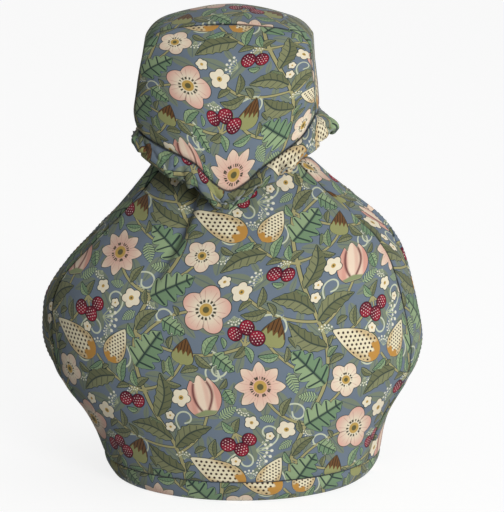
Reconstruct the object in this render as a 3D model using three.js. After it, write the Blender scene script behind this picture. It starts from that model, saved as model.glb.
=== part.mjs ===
// A fitted tea cosy of wadded cotton, in millimetres: +Z up, origin on the floor under its middle.
// The spout leaves on the left (-X), the handle on the right (+X), and -Y is the front.
// A pear-shaped body of two panels and two slit side strips stands on a rolled hem band. Its gathered
// neck carries a collar that folds down over the shoulders and a closed, boxed hood above it.
import * as THREE from "three";
import { ParametricGeometry } from "three/addons/geometries/ParametricGeometry.js";
import { mergeVertices } from "three/addons/utils/BufferGeometryUtils.js";

// Driving sizes.
const BODY_THICKNESS = 3.6; // wadded cloth of the body and the hem band
const HOOD_THICKNESS = 3.2;
const COLLAR_THICKNESS = 2.2; // the collar has no wadding
const SEAM_GAP = 0.34; // between two pieces that are sewn together
const HEM_TOP = 11; // height of the seam between the body and the hem band
const NECK_TOP = 165; // height of the seam between the body and the collar
const SLIT_SHARE = 0.46; // how much of the side strip's width a slit takes at its widest
const BODY_ROUNDNESS = 0.93; // 0 is a parabola across a panel, 1 a half ellipse
const HOOD_ROUNDNESS = 0.9;

// How far the body reaches at each height. left and right are the side strips, leftSeam and rightSeam
// their seams with the panels, front and back the panels, and strip is half of the depth between seams.
const BODY_SECTIONS = [
  { z: 11, left: -68.4, leftSeam: -63, rightSeam: 70, right: 77.2, front: 72.2, back: 70, strip: 29.5 },
  { z: 24, left: -73, leftSeam: -68.2, rightSeam: 73.5, right: 79.4, front: 75, back: 73, strip: 31 },
  { z: 36, left: -78.4, leftSeam: -74.2, rightSeam: 78.4, right: 83, front: 78, back: 76, strip: 33 },
  { z: 48, left: -88, leftSeam: -82.8, rightSeam: 85.2, right: 89.6, front: 80.5, back: 78.5, strip: 34 },
  { z: 60, left: -95, leftSeam: -88.2, rightSeam: 91, right: 96, front: 81.5, back: 80, strip: 35 },
  { z: 72, left: -99.6, leftSeam: -90.9, rightSeam: 92, right: 98.9, front: 81.5, back: 80, strip: 35 },
  { z: 84, left: -100, leftSeam: -91.2, rightSeam: 90.2, right: 98.6, front: 80, back: 79, strip: 35 },
  { z: 96, left: -98.2, leftSeam: -90.4, rightSeam: 87.4, right: 96.2, front: 76.5, back: 76, strip: 34 },
  { z: 108, left: -90.2, leftSeam: -85, rightSeam: 84, right: 92.6, front: 71.5, back: 71, strip: 33 },
  { z: 120, left: -78.8, leftSeam: -74.2, rightSeam: 79, right: 87.2, front: 64.5, back: 64, strip: 31 },
  { z: 132, left: -66.5, leftSeam: -62.3, rightSeam: 69.5, right: 78, front: 56, back: 56, strip: 28 },
  { z: 144, left: -55, leftSeam: -51, rightSeam: 55.5, right: 63.8, front: 47.5, back: 48, strip: 24 },
  { z: 154, left: -47, leftSeam: -42.5, rightSeam: 44, right: 50.8, front: 39.5, back: 40, strip: 19 },
  { z: 165, left: -39, leftSeam: -34, rightSeam: 33, right: 38, front: 31, back: 31.5, strip: 14 },
];

// The spout's slit and the handle's.
const SLITS = {
  left: { bottom: 48, top: 134 },
  right: { bottom: 52, top: 148 },
};

// Upright troughs in the panels: across is where between the seams, from -1 to 1 seen from outside.
const BODY_FOLDS = [
  { panel: "front", across: -0.44, low: 96, high: 158, width: 9, depth: 2.6 },
  { panel: "front", across: 0.5, low: 112, high: 160, width: 11, depth: 2.2 },
  { panel: "front", across: 0.06, low: 124, high: 166, width: 10, depth: 1.8 },
  { panel: "front", across: 0.8, low: 12, high: 46, width: 11, depth: 2.4 },
  { panel: "front", across: -0.74, low: 12, high: 40, width: 10, depth: 1.8 },
  { panel: "back", across: 0.36, low: 100, high: 160, width: 10, depth: 2.4 },
  { panel: "back", across: -0.4, low: 108, high: 160, width: 11, depth: 2.4 },
  { panel: "back", across: -0.02, low: 122, high: 166, width: 9, depth: 1.8 },
];

// The hem band's section below the seam: in is how far it has rolled under the pot.
const HEM_SECTION = [
  { z: HEM_TOP, in: 0 },
  { z: 6.6, in: 1.1 },
  { z: 2.4, in: 3.4 },
  { z: 0, in: 6.4 },
  { z: 0, in: 13.5 },
];

// The hood's side seams, by height.
const HOOD_SIDES = [
  { z: 178, left: -46.2, right: 42.2 },
  { z: 190, left: -48.9, right: 42.6 },
  { z: 202, left: -47.8, right: 42.1 },
  { z: 213, left: -45.8, right: 41 },
  { z: 224, left: -43.4, right: 40 },
];
const HOOD_LEFT_CORNER = 181.5; // height where the left side seam meets the collar
const HOOD_RIGHT_CORNER = 189.5;
const HOOD_SHOULDER = 224; // height where the side seams turn into the top seam
const HOOD_TOP = 235; // height of the top seam at the middle
const HOOD_STRIP = 30; // half of the hood strip's depth between its seams
const HOOD_CROWN = 7.8; // how far the hood strip stands above its seams at the middle
const HOOD_CORNER_CROWN = 4.4; // and at the corners
const HOOD_SIDE_SWELL = 0.9;

// The hood's pointed lower edge, by the share of the way across: -1 is the left corner.
const HOOD_POINT = [
  { across: -1, z: HOOD_LEFT_CORNER },
  { across: -0.78, z: 176.4 },
  { across: -0.5, z: 171.5 },
  { across: -0.3, z: 167 },
  { across: -0.15, z: 160 },
  { across: 0.04, z: 154.8 },
  { across: 0.22, z: 158.4 },
  { across: 0.4, z: 165.4 },
  { across: 0.62, z: 172.4 },
  { across: 0.84, z: 179.6 },
  { across: 1, z: HOOD_RIGHT_CORNER },
];

// How far the hood's panels stand out at the middle, from its lower edge (up: 0) to the top seam (up: 1).
const HOOD_SWELL = [
  { up: 0, front: 55.5, back: 54 },
  { up: 0.25, front: 54, back: 53 },
  { up: 0.5, front: 51, back: 50.5 },
  { up: 0.75, front: 46, back: 46 },
  { up: 0.9, front: 39, back: 39 },
  { up: 1, front: HOOD_STRIP, back: HOOD_STRIP },
];

// The collar's fold below the hood's edge: out is how far it stands away, drop how far it hangs. turn
// runs around it, a quarter for each side: front from the left, right side, back from the right, left side.
const COLLAR_HANG = [
  { turn: 0, out: 3.2, drop: 9 },
  { turn: 0.037, out: 3.6, drop: 10.2 },
  { turn: 0.075, out: 4.8, drop: 13 },
  { turn: 0.1, out: 5, drop: 12.5 },
  { turn: 0.13, out: 6, drop: 9.4 },
  { turn: 0.15, out: 5.2, drop: 9.8 },
  { turn: 0.175, out: 4.8, drop: 11.5 },
  { turn: 0.213, out: 4.4, drop: 12 },
  { turn: 0.25, out: 6, drop: 13.5 },
  { turn: 0.3, out: 10.8, drop: 10.5 },
  { turn: 0.36, out: 8, drop: 11.5 },
  { turn: 0.44, out: 4.6, drop: 13.5 },
  { turn: 0.5, out: 4.4, drop: 14 },
  { turn: 0.56, out: 4.6, drop: 12.5 },
  { turn: 0.62, out: 5.8, drop: 9.8 },
  { turn: 0.68, out: 4.8, drop: 11.5 },
  { turn: 0.75, out: 4, drop: 10.5 },
  { turn: 0.81, out: 4.4, drop: 9.2 },
  { turn: 0.88, out: 3.6, drop: 10 },
  { turn: 0.94, out: 4.2, drop: 9 },
  { turn: 1, out: 3.2, drop: 9 },
];
const COLLAR_BEND = 3; // radius of the fold that the collar hangs from the hood in, on its outside

// Steps of the faceted surfaces.
const PANEL_STEPS = 24;
const STRIP_STEPS = 8;
const BODY_STEPS = 17;
const HOOD_STEPS = 9;
const COLLAR_STEPS = 6;

const printedCotton = new THREE.MeshStandardMaterial({ color: 0x85877a, roughness: 0.9 });

// A smooth value from rows sorted by the key column.
function readOff(rows, key, column, at) {
  let i = 0;
  while (i < rows.length - 2 && at > rows[i + 1][key]) i += 1;
  const slope = (j) => {
    const a = rows[Math.max(j - 1, 0)];
    const b = rows[Math.min(j + 1, rows.length - 1)];
    return (b[column] - a[column]) / (b[key] - a[key]);
  };
  const [low, high] = [rows[i], rows[i + 1]];
  const span = high[key] - low[key];
  const t = THREE.MathUtils.clamp((at - low[key]) / span, 0, 1);
  const [t2, t3] = [t * t, t * t * t];
  return (
    low[column] * (2 * t3 - 3 * t2 + 1) +
    high[column] * (3 * t2 - 2 * t3) +
    span * (slope(i) * (t3 - 2 * t2 + t) + slope(i + 1) * (t3 - t2))
  );
}

// From 0 at the seams (across is -1 or 1) to 1 at the middle of a panel.
function swell(across, roundness) {
  const edge = Math.sqrt(1 - roundness * roundness);
  return (Math.sqrt(Math.max(0, 1 - (roundness * across) ** 2)) - edge) / (1 - edge);
}

// Steps are finer near a panel's seams than at its middle.
const spreadOut = (share) => share - 0.5 + Math.sin((share - 0.5) * Math.PI) / 2;

function foldDepth(panel, across, x, z, middle, half) {
  let depth = 0;
  for (const fold of BODY_FOLDS) {
    if (fold.panel !== panel) continue;
    const off = (x - (middle + half * fold.across)) / fold.width;
    const along = (z - fold.low) / (fold.high - fold.low);
    if (along > 0 && along < 1) depth += fold.depth * Math.exp(-off * off) * Math.sin(Math.PI * along);
  }
  return depth * (1 - across * across);
}

// The body's section at one height.
function section(z) {
  const column = (name) => readOff(BODY_SECTIONS, "z", name, z);
  const [leftSeam, rightSeam] = [column("leftSeam"), column("rightSeam")];
  return {
    middle: (leftSeam + rightSeam) / 2,
    half: (rightSeam - leftSeam) / 2,
    leftSeam,
    rightSeam,
    left: column("left"),
    right: column("right"),
    front: column("front"),
    back: column("back"),
    strip: column("strip"),
  };
}

// A point of the front or back panel. across runs from -1 to 1, from the left seam to the right one.
function panelPoint(panel, across, z) {
  const s = section(z);
  const x = s.middle + s.half * across;
  const reach = s[panel] - s.strip - foldDepth(panel, across, x, z, s.middle, s.half);
  const depth = s.strip + reach * swell(across, BODY_ROUNDNESS);
  return new THREE.Vector3(x, panel === "front" ? -depth : depth, z);
}

// A point of a side strip. through runs from -1 at the front seam to 1 at the back one.
function stripPoint(side, through, z) {
  const s = section(z);
  const seam = side === "left" ? s.leftSeam : s.rightSeam;
  return new THREE.Vector3(seam + (s[side] - seam) * (1 - through * through), s.strip * through, z);
}

// Half of a slit's width at one height, as a share of its strip: a pointed oval.
function slitShare({ bottom, top }, z) {
  const along = (2 * z - bottom - top) / (top - bottom);
  return Math.abs(along) < 1 ? SLIT_SHARE * (1 - along * along) ** 0.8 : 0;
}

const bodyHeight = (share) => THREE.MathUtils.lerp(HEM_TOP, NECK_TOP, share);

// The hood's outline: where its front panel's point lies before it swells out.
function hoodPanelPoint(panel, across, up) {
  const leftZ = THREE.MathUtils.lerp(HOOD_LEFT_CORNER, HOOD_SHOULDER, up);
  const rightZ = THREE.MathUtils.lerp(HOOD_RIGHT_CORNER, HOOD_SHOULDER, up);
  const left = readOff(HOOD_SIDES, "z", "left", leftZ);
  const right = readOff(HOOD_SIDES, "z", "right", rightZ);
  const lower = readOff(HOOD_POINT, "across", "z", across);
  const cornerDrop = HOOD_TOP - HOOD_SHOULDER;
  const upper = HOOD_TOP - cornerDrop * (0.4 * across ** 2 + 0.6 * across ** 10);
  const depth =
    HOOD_STRIP + (readOff(HOOD_SWELL, "up", panel, up) - HOOD_STRIP) * swell(across, HOOD_ROUNDNESS);
  return new THREE.Vector3(
    THREE.MathUtils.lerp(left, right, (across + 1) / 2),
    panel === "front" ? -depth : depth,
    THREE.MathUtils.lerp(lower, upper, up),
  );
}

// The hood strip stands off the straight line between its two seams. along is 0 at the left corner,
// 1 and 2 at the ends of the top, and 3 at the right corner.
function hoodStripPoint(through, along) {
  const onTop = along > 1 && along < 2;
  const across = onTop ? spreadOut(along - 1) : Math.sign(along - 1.5);
  const up = onTop ? 1 : along <= 1 ? along : 3 - along;
  const crown = onTop
    ? THREE.MathUtils.lerp(HOOD_CROWN, HOOD_CORNER_CROWN, Math.sin((Math.PI / 2) * across) ** 2)
    : HOOD_CORNER_CROWN * up ** 5;
  const point = hoodPanelPoint("front", across, up);
  const stand = 1 - through * through;
  point.x += HOOD_SIDE_SWELL * Math.sign(across) * across ** 4 * stand;
  point.y = HOOD_STRIP * through;
  point.z += crown * stand;
  return point;
}

// Once around the hood's lower edge and the neck: front, right side, back, left side, a quarter each.
function around(turn) {
  const quarter = Math.min(3, Math.floor(turn * 4));
  const share = turn * 4 - quarter;
  if (quarter === 0) return { face: "front", at: spreadOut(share) };
  if (quarter === 1) return { face: "right", at: 2 * share - 1 };
  if (quarter === 2) return { face: "back", at: -spreadOut(share) };
  return { face: "left", at: 1 - 2 * share };
}

function hoodEdge({ face, at }) {
  if (face === "front" || face === "back") return hoodPanelPoint(face, at, 0);
  return hoodStripPoint(at, face === "left" ? 0 : 3);
}

function bodyEdge({ face, at }, z) {
  return face === "front" || face === "back" ? panelPoint(face, at, z) : stripPoint(face, at, z);
}

// The collar leaves the hood's edge, hangs, folds back under itself and ends at the neck.
function collarPoint(turn, share) {
  const place = around(turn);
  const edge = hoodEdge(place);
  const neck = bodyEdge(place, NECK_TOP);
  const [out, drop] = ["out", "drop"].map((column) => readOff(COLLAR_HANG, "turn", column, turn));
  const outward = new THREE.Vector3(edge.x, edge.y * 1.3, 0).normalize();
  const bend = edge.clone().addScaledVector(outward, out - COLLAR_BEND).setZ(edge.z - drop + COLLAR_BEND);
  const outside = bend.clone().addScaledVector(outward, COLLAR_BEND);
  const bottom = bend.clone().setZ(bend.z - COLLAR_BEND);
  const underneath = bend.clone().addScaledVector(outward, -COLLAR_BEND);
  const hanging = edge.clone().addScaledVector(outward, 0.7 * out).setZ(edge.z - 0.3 * drop);
  const returning = underneath.clone().lerp(neck, 0.5);
  returning.z -= 1.6;
  return [edge, hanging, outside, bottom, underneath, returning, neck][Math.round(share * COLLAR_STEPS)];
}

function hemPoint(turn, share) {
  const position = share * (HEM_SECTION.length - 1);
  const row = Math.min(HEM_SECTION.length - 2, Math.floor(position));
  const z = THREE.MathUtils.lerp(HEM_SECTION[row].z, HEM_SECTION[row + 1].z, position - row);
  const inset = THREE.MathUtils.lerp(HEM_SECTION[row].in, HEM_SECTION[row + 1].in, position - row);
  const point = bodyEdge(around(turn), HEM_TOP);
  const s = section(HEM_TOP);
  const middle = (s.left + s.right) / 2;
  const outward = new THREE.Vector3(point.x - middle, point.y, 0).normalize();
  return point.addScaledVector(outward, -inset).setZ(z);
}

// The outer faces of every sheet, as grids of points with their faces pointing out.
function grid(pointAt, slices, stacks) {
  const surface = new ParametricGeometry((u, v, target) => target.copy(pointAt(u, v)), slices, stacks);
  surface.deleteAttribute("normal");
  surface.deleteAttribute("uv");
  return surface;
}

const ringSteps = (turn) => {
  // Equal steps of turn become the steps of the panels and the strips that the ring is sewn to.
  const step = Math.round(turn * 2 * (PANEL_STEPS + STRIP_STEPS));
  const sizes = [PANEL_STEPS, STRIP_STEPS, PANEL_STEPS, STRIP_STEPS];
  let start = 0;
  for (let quarter = 0; quarter < 4; quarter += 1) {
    if (step < start + sizes[quarter]) return (quarter + (step - start) / sizes[quarter]) / 4;
    start += sizes[quarter];
  }
  return 0;
};

const RING_STEPS = 2 * (PANEL_STEPS + STRIP_STEPS);

function bodyPanel(panel) {
  const sign = panel === "front" ? 1 : -1;
  return [grid((u, v) => panelPoint(panel, sign * spreadOut(u), bodyHeight(v)), PANEL_STEPS, BODY_STEPS)];
}

// A side strip is two halves, one on each side of the slit, that meet above and below it.
function sideStrip(side) {
  const sign = side === "right" ? 1 : -1;
  const half = (from, to) =>
    grid(
      (u, v) => {
        const z = bodyHeight(v);
        const open = slitShare(SLITS[side], z);
        const edges = { back: 1, lipBack: open, lipFront: -open, front: -1 };
        return stripPoint(side, sign * THREE.MathUtils.lerp(edges[from], edges[to], u), z);
      },
      STRIP_STEPS / 2,
      BODY_STEPS,
    );
  return [half("front", "lipFront"), half("lipBack", "back")];
}

function hoodPanel(panel) {
  const sign = panel === "front" ? 1 : -1;
  return [grid((u, v) => hoodPanelPoint(panel, sign * spreadOut(u), v), PANEL_STEPS, HOOD_STEPS)];
}

function hoodStrip() {
  const part = (from) =>
    from === 1
      ? grid((u, v) => hoodStripPoint(2 * v - 1, 1 + u), PANEL_STEPS, STRIP_STEPS)
      : grid((u, v) => hoodStripPoint(2 * v - 1, from + u), HOOD_STEPS, STRIP_STEPS);
  return [part(0), part(1), part(2)];
}

const hemBand = () => [grid((u, v) => hemPoint(ringSteps(u), 1 - v), RING_STEPS, HEM_SECTION.length - 1)];
const collar = () => [grid((u, v) => collarPoint(ringSteps(u), 1 - v), RING_STEPS, COLLAR_STEPS)];

const SHEETS = [
  { name: "front_panel", faces: bodyPanel("front"), thickness: BODY_THICKNESS },
  { name: "back_panel", faces: bodyPanel("back"), thickness: BODY_THICKNESS },
  { name: "left_side_strip", faces: sideStrip("left"), thickness: BODY_THICKNESS },
  { name: "right_side_strip", faces: sideStrip("right"), thickness: BODY_THICKNESS },
  { name: "hem_band", faces: hemBand(), thickness: BODY_THICKNESS },
  { name: "collar", faces: collar(), thickness: COLLAR_THICKNESS },
  { name: "hood_front", faces: hoodPanel("front"), thickness: HOOD_THICKNESS },
  { name: "hood_back", faces: hoodPanel("back"), thickness: HOOD_THICKNESS },
  { name: "hood_strip", faces: hoodStrip(), thickness: HOOD_THICKNESS },
];

// One indexed surface from a sheet's grids, without the slivers where a slit closes.
function joined(grids) {
  const positions = [];
  for (const surface of grids)
    positions.push(...surface.toNonIndexed().getAttribute("position").array);
  const loose = new THREE.BufferGeometry();
  loose.setAttribute("position", new THREE.Float32BufferAttribute(positions, 3));
  const welded = mergeVertices(loose, 1e-3);
  const index = [...welded.index.array];
  const kept = [];
  for (let i = 0; i < index.length; i += 3) {
    const [a, b, c] = index.slice(i, i + 3);
    if (a !== b && b !== c && a !== c) kept.push(a, b, c);
  }
  return { points: welded.getAttribute("position"), triangles: kept };
}

const keyOf = (p) => [p.x, p.y, p.z].map((value) => Math.round(value * 50)).join(",");

// Each sheet's normals, shared where two sheets are sewn together, so that their edges are mitred.
function sharedNormals(surfaces) {
  const sums = new Map();
  const [a, b, c] = [new THREE.Vector3(), new THREE.Vector3(), new THREE.Vector3()];
  for (const { points, triangles, thickness } of surfaces)
    for (let i = 0; i < triangles.length; i += 3) {
      [a, b, c].forEach((corner, k) => corner.fromBufferAttribute(points, triangles[i + k]));
      const normal = new THREE.Triangle(a, b, c).getNormal(new THREE.Vector3());
      for (const [corner, p, q] of [[a, b, c], [b, c, a], [c, a, b]]) {
        const angle = p.clone().sub(corner).angleTo(q.clone().sub(corner));
        const entry = sums.get(keyOf(corner)) ?? { sum: new THREE.Vector3(), faces: [], thickness };
        entry.sum.addScaledVector(normal, angle);
        entry.thickness = Math.min(entry.thickness, thickness);
        entry.faces.push(normal);
        sums.set(keyOf(corner), entry);
      }
    }
  return sums;
}

// How far in the inner face lies, so that the sheet stays as thick on both sides of a crease. Two sheets
// that are sewn together are as thin as the thinner one at their seam.
function mitre({ sum, faces, thickness }) {
  const normal = sum.clone().normalize();
  const least = Math.min(...faces.map((face) => face.dot(normal)));
  return normal.multiplyScalar(thickness / THREE.MathUtils.clamp(least, 0.8, 1));
}

// The sheet's outline, as pairs of points in the order of the faces that they border.
function borderOf(triangles) {
  const edges = new Map();
  for (let i = 0; i < triangles.length; i += 3)
    for (let k = 0; k < 3; k += 1) {
      const [from, to] = [triangles[i + k], triangles[i + ((k + 1) % 3)]];
      if (!edges.delete(`${to},${from}`)) edges.set(`${from},${to}`, [from, to]);
    }
  return [...edges.values()];
}

// How each point on a sheet's border moves to leave half of the seam's gap: square to the sheet's raw edge.
function borderPulls(points, border, inward) {
  const squares = new Map();
  for (const [from, to] of border) {
    const [start, end] = [from, to].map((i) => new THREE.Vector3().fromBufferAttribute(points, i));
    for (const i of [from, to]) {
      const square = inward(i).cross(start.clone().sub(end)).normalize();
      squares.set(i, [...(squares.get(i) ?? []), square]);
    }
  }
  const pulls = new Map();
  for (const [i, [first, second]] of squares)
    pulls.set(i, first.clone().add(second).multiplyScalar(SEAM_GAP / 2 / Math.max(0.5, 1 + first.dot(second))));
  return pulls;
}

function sewn({ name, cloth }, { points, triangles }, normals) {
  const border = borderOf(triangles);
  const at = (i) => new THREE.Vector3().fromBufferAttribute(points, i);
  const inward = (i) => mitre(normals.get(keyOf(at(i)))).negate();
  const pulls = borderPulls(points, border, inward);
  const count = points.count;
  const outer = Array.from({ length: count }, (_, i) => at(i).add(pulls.get(i) ?? new THREE.Vector3()));
  const inner = outer.map((point, i) => point.clone().add(inward(i)));
  const index = [...triangles];
  for (let i = 0; i < triangles.length; i += 3)
    index.push(triangles[i] + count, triangles[i + 2] + count, triangles[i + 1] + count);
  for (const [from, to] of border) {
    // Both sheets at a seam split its raw edge along the same diagonal.
    if (keyOf(at(from)) < keyOf(at(to))) index.push(to, from, from + count, to, from + count, to + count);
    else index.push(to, from, to + count, from, from + count, to + count);
  }
  const geometry = new THREE.BufferGeometry().setFromPoints([...outer, ...inner]);
  geometry.setIndex(index);
  geometry.computeVertexNormals();
  const mesh = new THREE.Mesh(geometry, printedCotton);
  mesh.name = name;
  return mesh;
}

const surfaces = SHEETS.map(({ faces, thickness }) => ({ ...joined(faces), thickness }));
const normals = sharedNormals(surfaces);
const teaCosy = new THREE.Group();
SHEETS.forEach((sheet, i) => teaCosy.add(sewn(sheet, surfaces[i], normals)));
const middle = new THREE.Box3().setFromObject(teaCosy).getCenter(new THREE.Vector3());
teaCosy.children.forEach((mesh) => mesh.geometry.translate(-middle.x, -middle.y, 0));

export default teaCosy;
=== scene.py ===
"""A wadded tea cosy of printed cotton, sewn from nine pieces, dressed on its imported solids.

Each piece of cloth is made again as a fine mesh from the same sizes as its solid, with the softness,
seams and wrinkles of wadded cotton. The print is a design of the maker's own: it is worked out on the
flat cloth as distances to its shapes, kept on the mesh, and painted from them by the material.
Lengths in the classes are millimetres; meshes are in metres.
"""

import sys

import logging
import math
from collections.abc import Callable
from dataclasses import dataclass, field
from enum import Enum
from functools import partial
from typing import ClassVar

import bpy
import numpy as np
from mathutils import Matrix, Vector, kdtree


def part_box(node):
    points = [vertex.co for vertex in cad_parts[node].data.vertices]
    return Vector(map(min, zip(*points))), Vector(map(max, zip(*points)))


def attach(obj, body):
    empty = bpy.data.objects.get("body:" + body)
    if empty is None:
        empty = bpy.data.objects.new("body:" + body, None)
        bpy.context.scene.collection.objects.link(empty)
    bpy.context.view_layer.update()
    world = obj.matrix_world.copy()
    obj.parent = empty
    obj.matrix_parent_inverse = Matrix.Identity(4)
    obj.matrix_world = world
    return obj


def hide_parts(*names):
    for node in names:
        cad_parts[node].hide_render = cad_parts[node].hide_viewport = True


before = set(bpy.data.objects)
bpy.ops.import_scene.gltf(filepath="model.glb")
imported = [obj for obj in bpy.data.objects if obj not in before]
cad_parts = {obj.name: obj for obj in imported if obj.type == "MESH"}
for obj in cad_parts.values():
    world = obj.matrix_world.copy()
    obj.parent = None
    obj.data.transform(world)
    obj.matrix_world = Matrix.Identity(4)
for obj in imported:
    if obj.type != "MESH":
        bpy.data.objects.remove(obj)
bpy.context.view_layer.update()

MM = 0.001
Array = np.ndarray
Disc = tuple[float, float, float]
Material = bpy.types.Material
Rows = tuple[tuple[float, ...], ...]
Slit = tuple[int, Array]
Socket = bpy.types.NodeSocket
log = logging.getLogger("tea_cosy")


def through_knots(keys: Array, values: Array, at: Array) -> Array:
    """Read a smooth cubic curve that runs through knots.

    Args:
        keys: The knots' places, in rising order.
        values: What each knot holds: a number, or an array of them.
        at: The places to read.

    Returns:
        The values at those places.
    """
    last = len(keys) - 1
    before, after = np.maximum(np.arange(last + 1) - 1, 0), np.minimum(np.arange(last + 1) + 1, last)
    wide = (slice(None),) + (None,) * (values.ndim - 1)
    slopes = (values[after] - values[before]) / (keys[after] - keys[before])[wide]
    low = np.minimum(np.searchsorted(keys[1:], at, side="left"), last - 1)
    span = (keys[low + 1] - keys[low])[wide]
    t = np.clip((at - keys[low])[wide] / span, 0, 1)
    t2, t3 = t * t, t * t * t
    curve = values[low] * (2 * t3 - 3 * t2 + 1) + values[low + 1] * (3 * t2 - 2 * t3)
    return curve + span * (slopes[low] * (t3 - 2 * t2 + t) + slopes[low + 1] * (t3 - t2))


def read_off(rows: Rows, column: int, at: Array) -> Array:
    """Return smooth values of one column of a table that is sorted by its first column."""
    table = np.array(rows)
    return through_knots(table[:, 0], table[:, column], at)


def swell(across: Array, roundness: float) -> Array:
    """Return 0 at the seams, where across is -1 or 1, rising to 1 at the middle of a panel."""
    edge = math.sqrt(1 - roundness * roundness)
    return (np.sqrt(np.maximum(0, 1 - (roundness * across) ** 2)) - edge) / (1 - edge)


def spread_out(share: Array) -> Array:
    """Return the places from -1 to 1 across a panel that shares from 0 to 1 of its steps stand at."""
    return share - 0.5 + np.sin((share - 0.5) * math.pi) / 2


def unit(vectors: Array) -> Array:
    """Return vectors scaled to length 1."""
    return vectors / np.maximum(np.linalg.norm(vectors, axis=-1, keepdims=True), 1e-9)


def mix(low: Array | float, high: Array | float, share: Array | float) -> Array:
    """Return the value that lies at a share of the way from low to high."""
    return low + (high - low) * share


def even_steps(curve: Callable[[Array], Array], start: float, end: float, count: int) -> Array:
    """Find places that lie equally far apart along a curve.

    Args:
        curve: Gives the curve's points for an array of places.
        start: The first place.
        end: The last place.
        count: How many places to find.

    Returns:
        The places.
    """
    fine = np.linspace(start, end, 1601)
    legs = np.linalg.norm(np.diff(curve(fine), axis=0), axis=1)
    return np.interp(np.linspace(0, legs.sum(), count), np.concatenate([[0], np.cumsum(legs)]), fine)


def run_lengths(points: Array, axis: int) -> Array:
    """Return how far each point lies from the grid's start, up its columns (0) or along its rows (1)."""
    steps = np.diff(points, axis=axis, prepend=points.take([0], axis))
    return np.cumsum(np.linalg.norm(steps, axis=2), axis=axis)


class Side(Enum):
    """The panels of the body and the hood."""

    FRONT = "front"
    BACK = "back"

    @property
    def facing(self) -> int:
        """Return -1 for the front and 1 for the back: the sign of the panel's depth."""
        return -1 if self is Side.FRONT else 1


class Hand(Enum):
    """The side strips: the spout's on the left and the handle's on the right."""

    LEFT = "left"
    RIGHT = "right"


class Edge(Enum):
    """How a border of a piece of cloth is finished."""

    SEAM = "sewn to its neighbour"
    PRESSED = "sewn to its neighbour and pressed flat"
    LIP = "turned round to the inside"

    @property
    def sewn(self) -> bool:
        """Return whether the border meets another piece of cloth."""
        return self is not Edge.LIP


@dataclass(frozen=True)
class Fold:
    """An upright trough in a body panel: across is where between the seams, from -1 to 1."""

    side: Side
    across: float
    low: float
    high: float
    width: float
    depth: float


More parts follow.
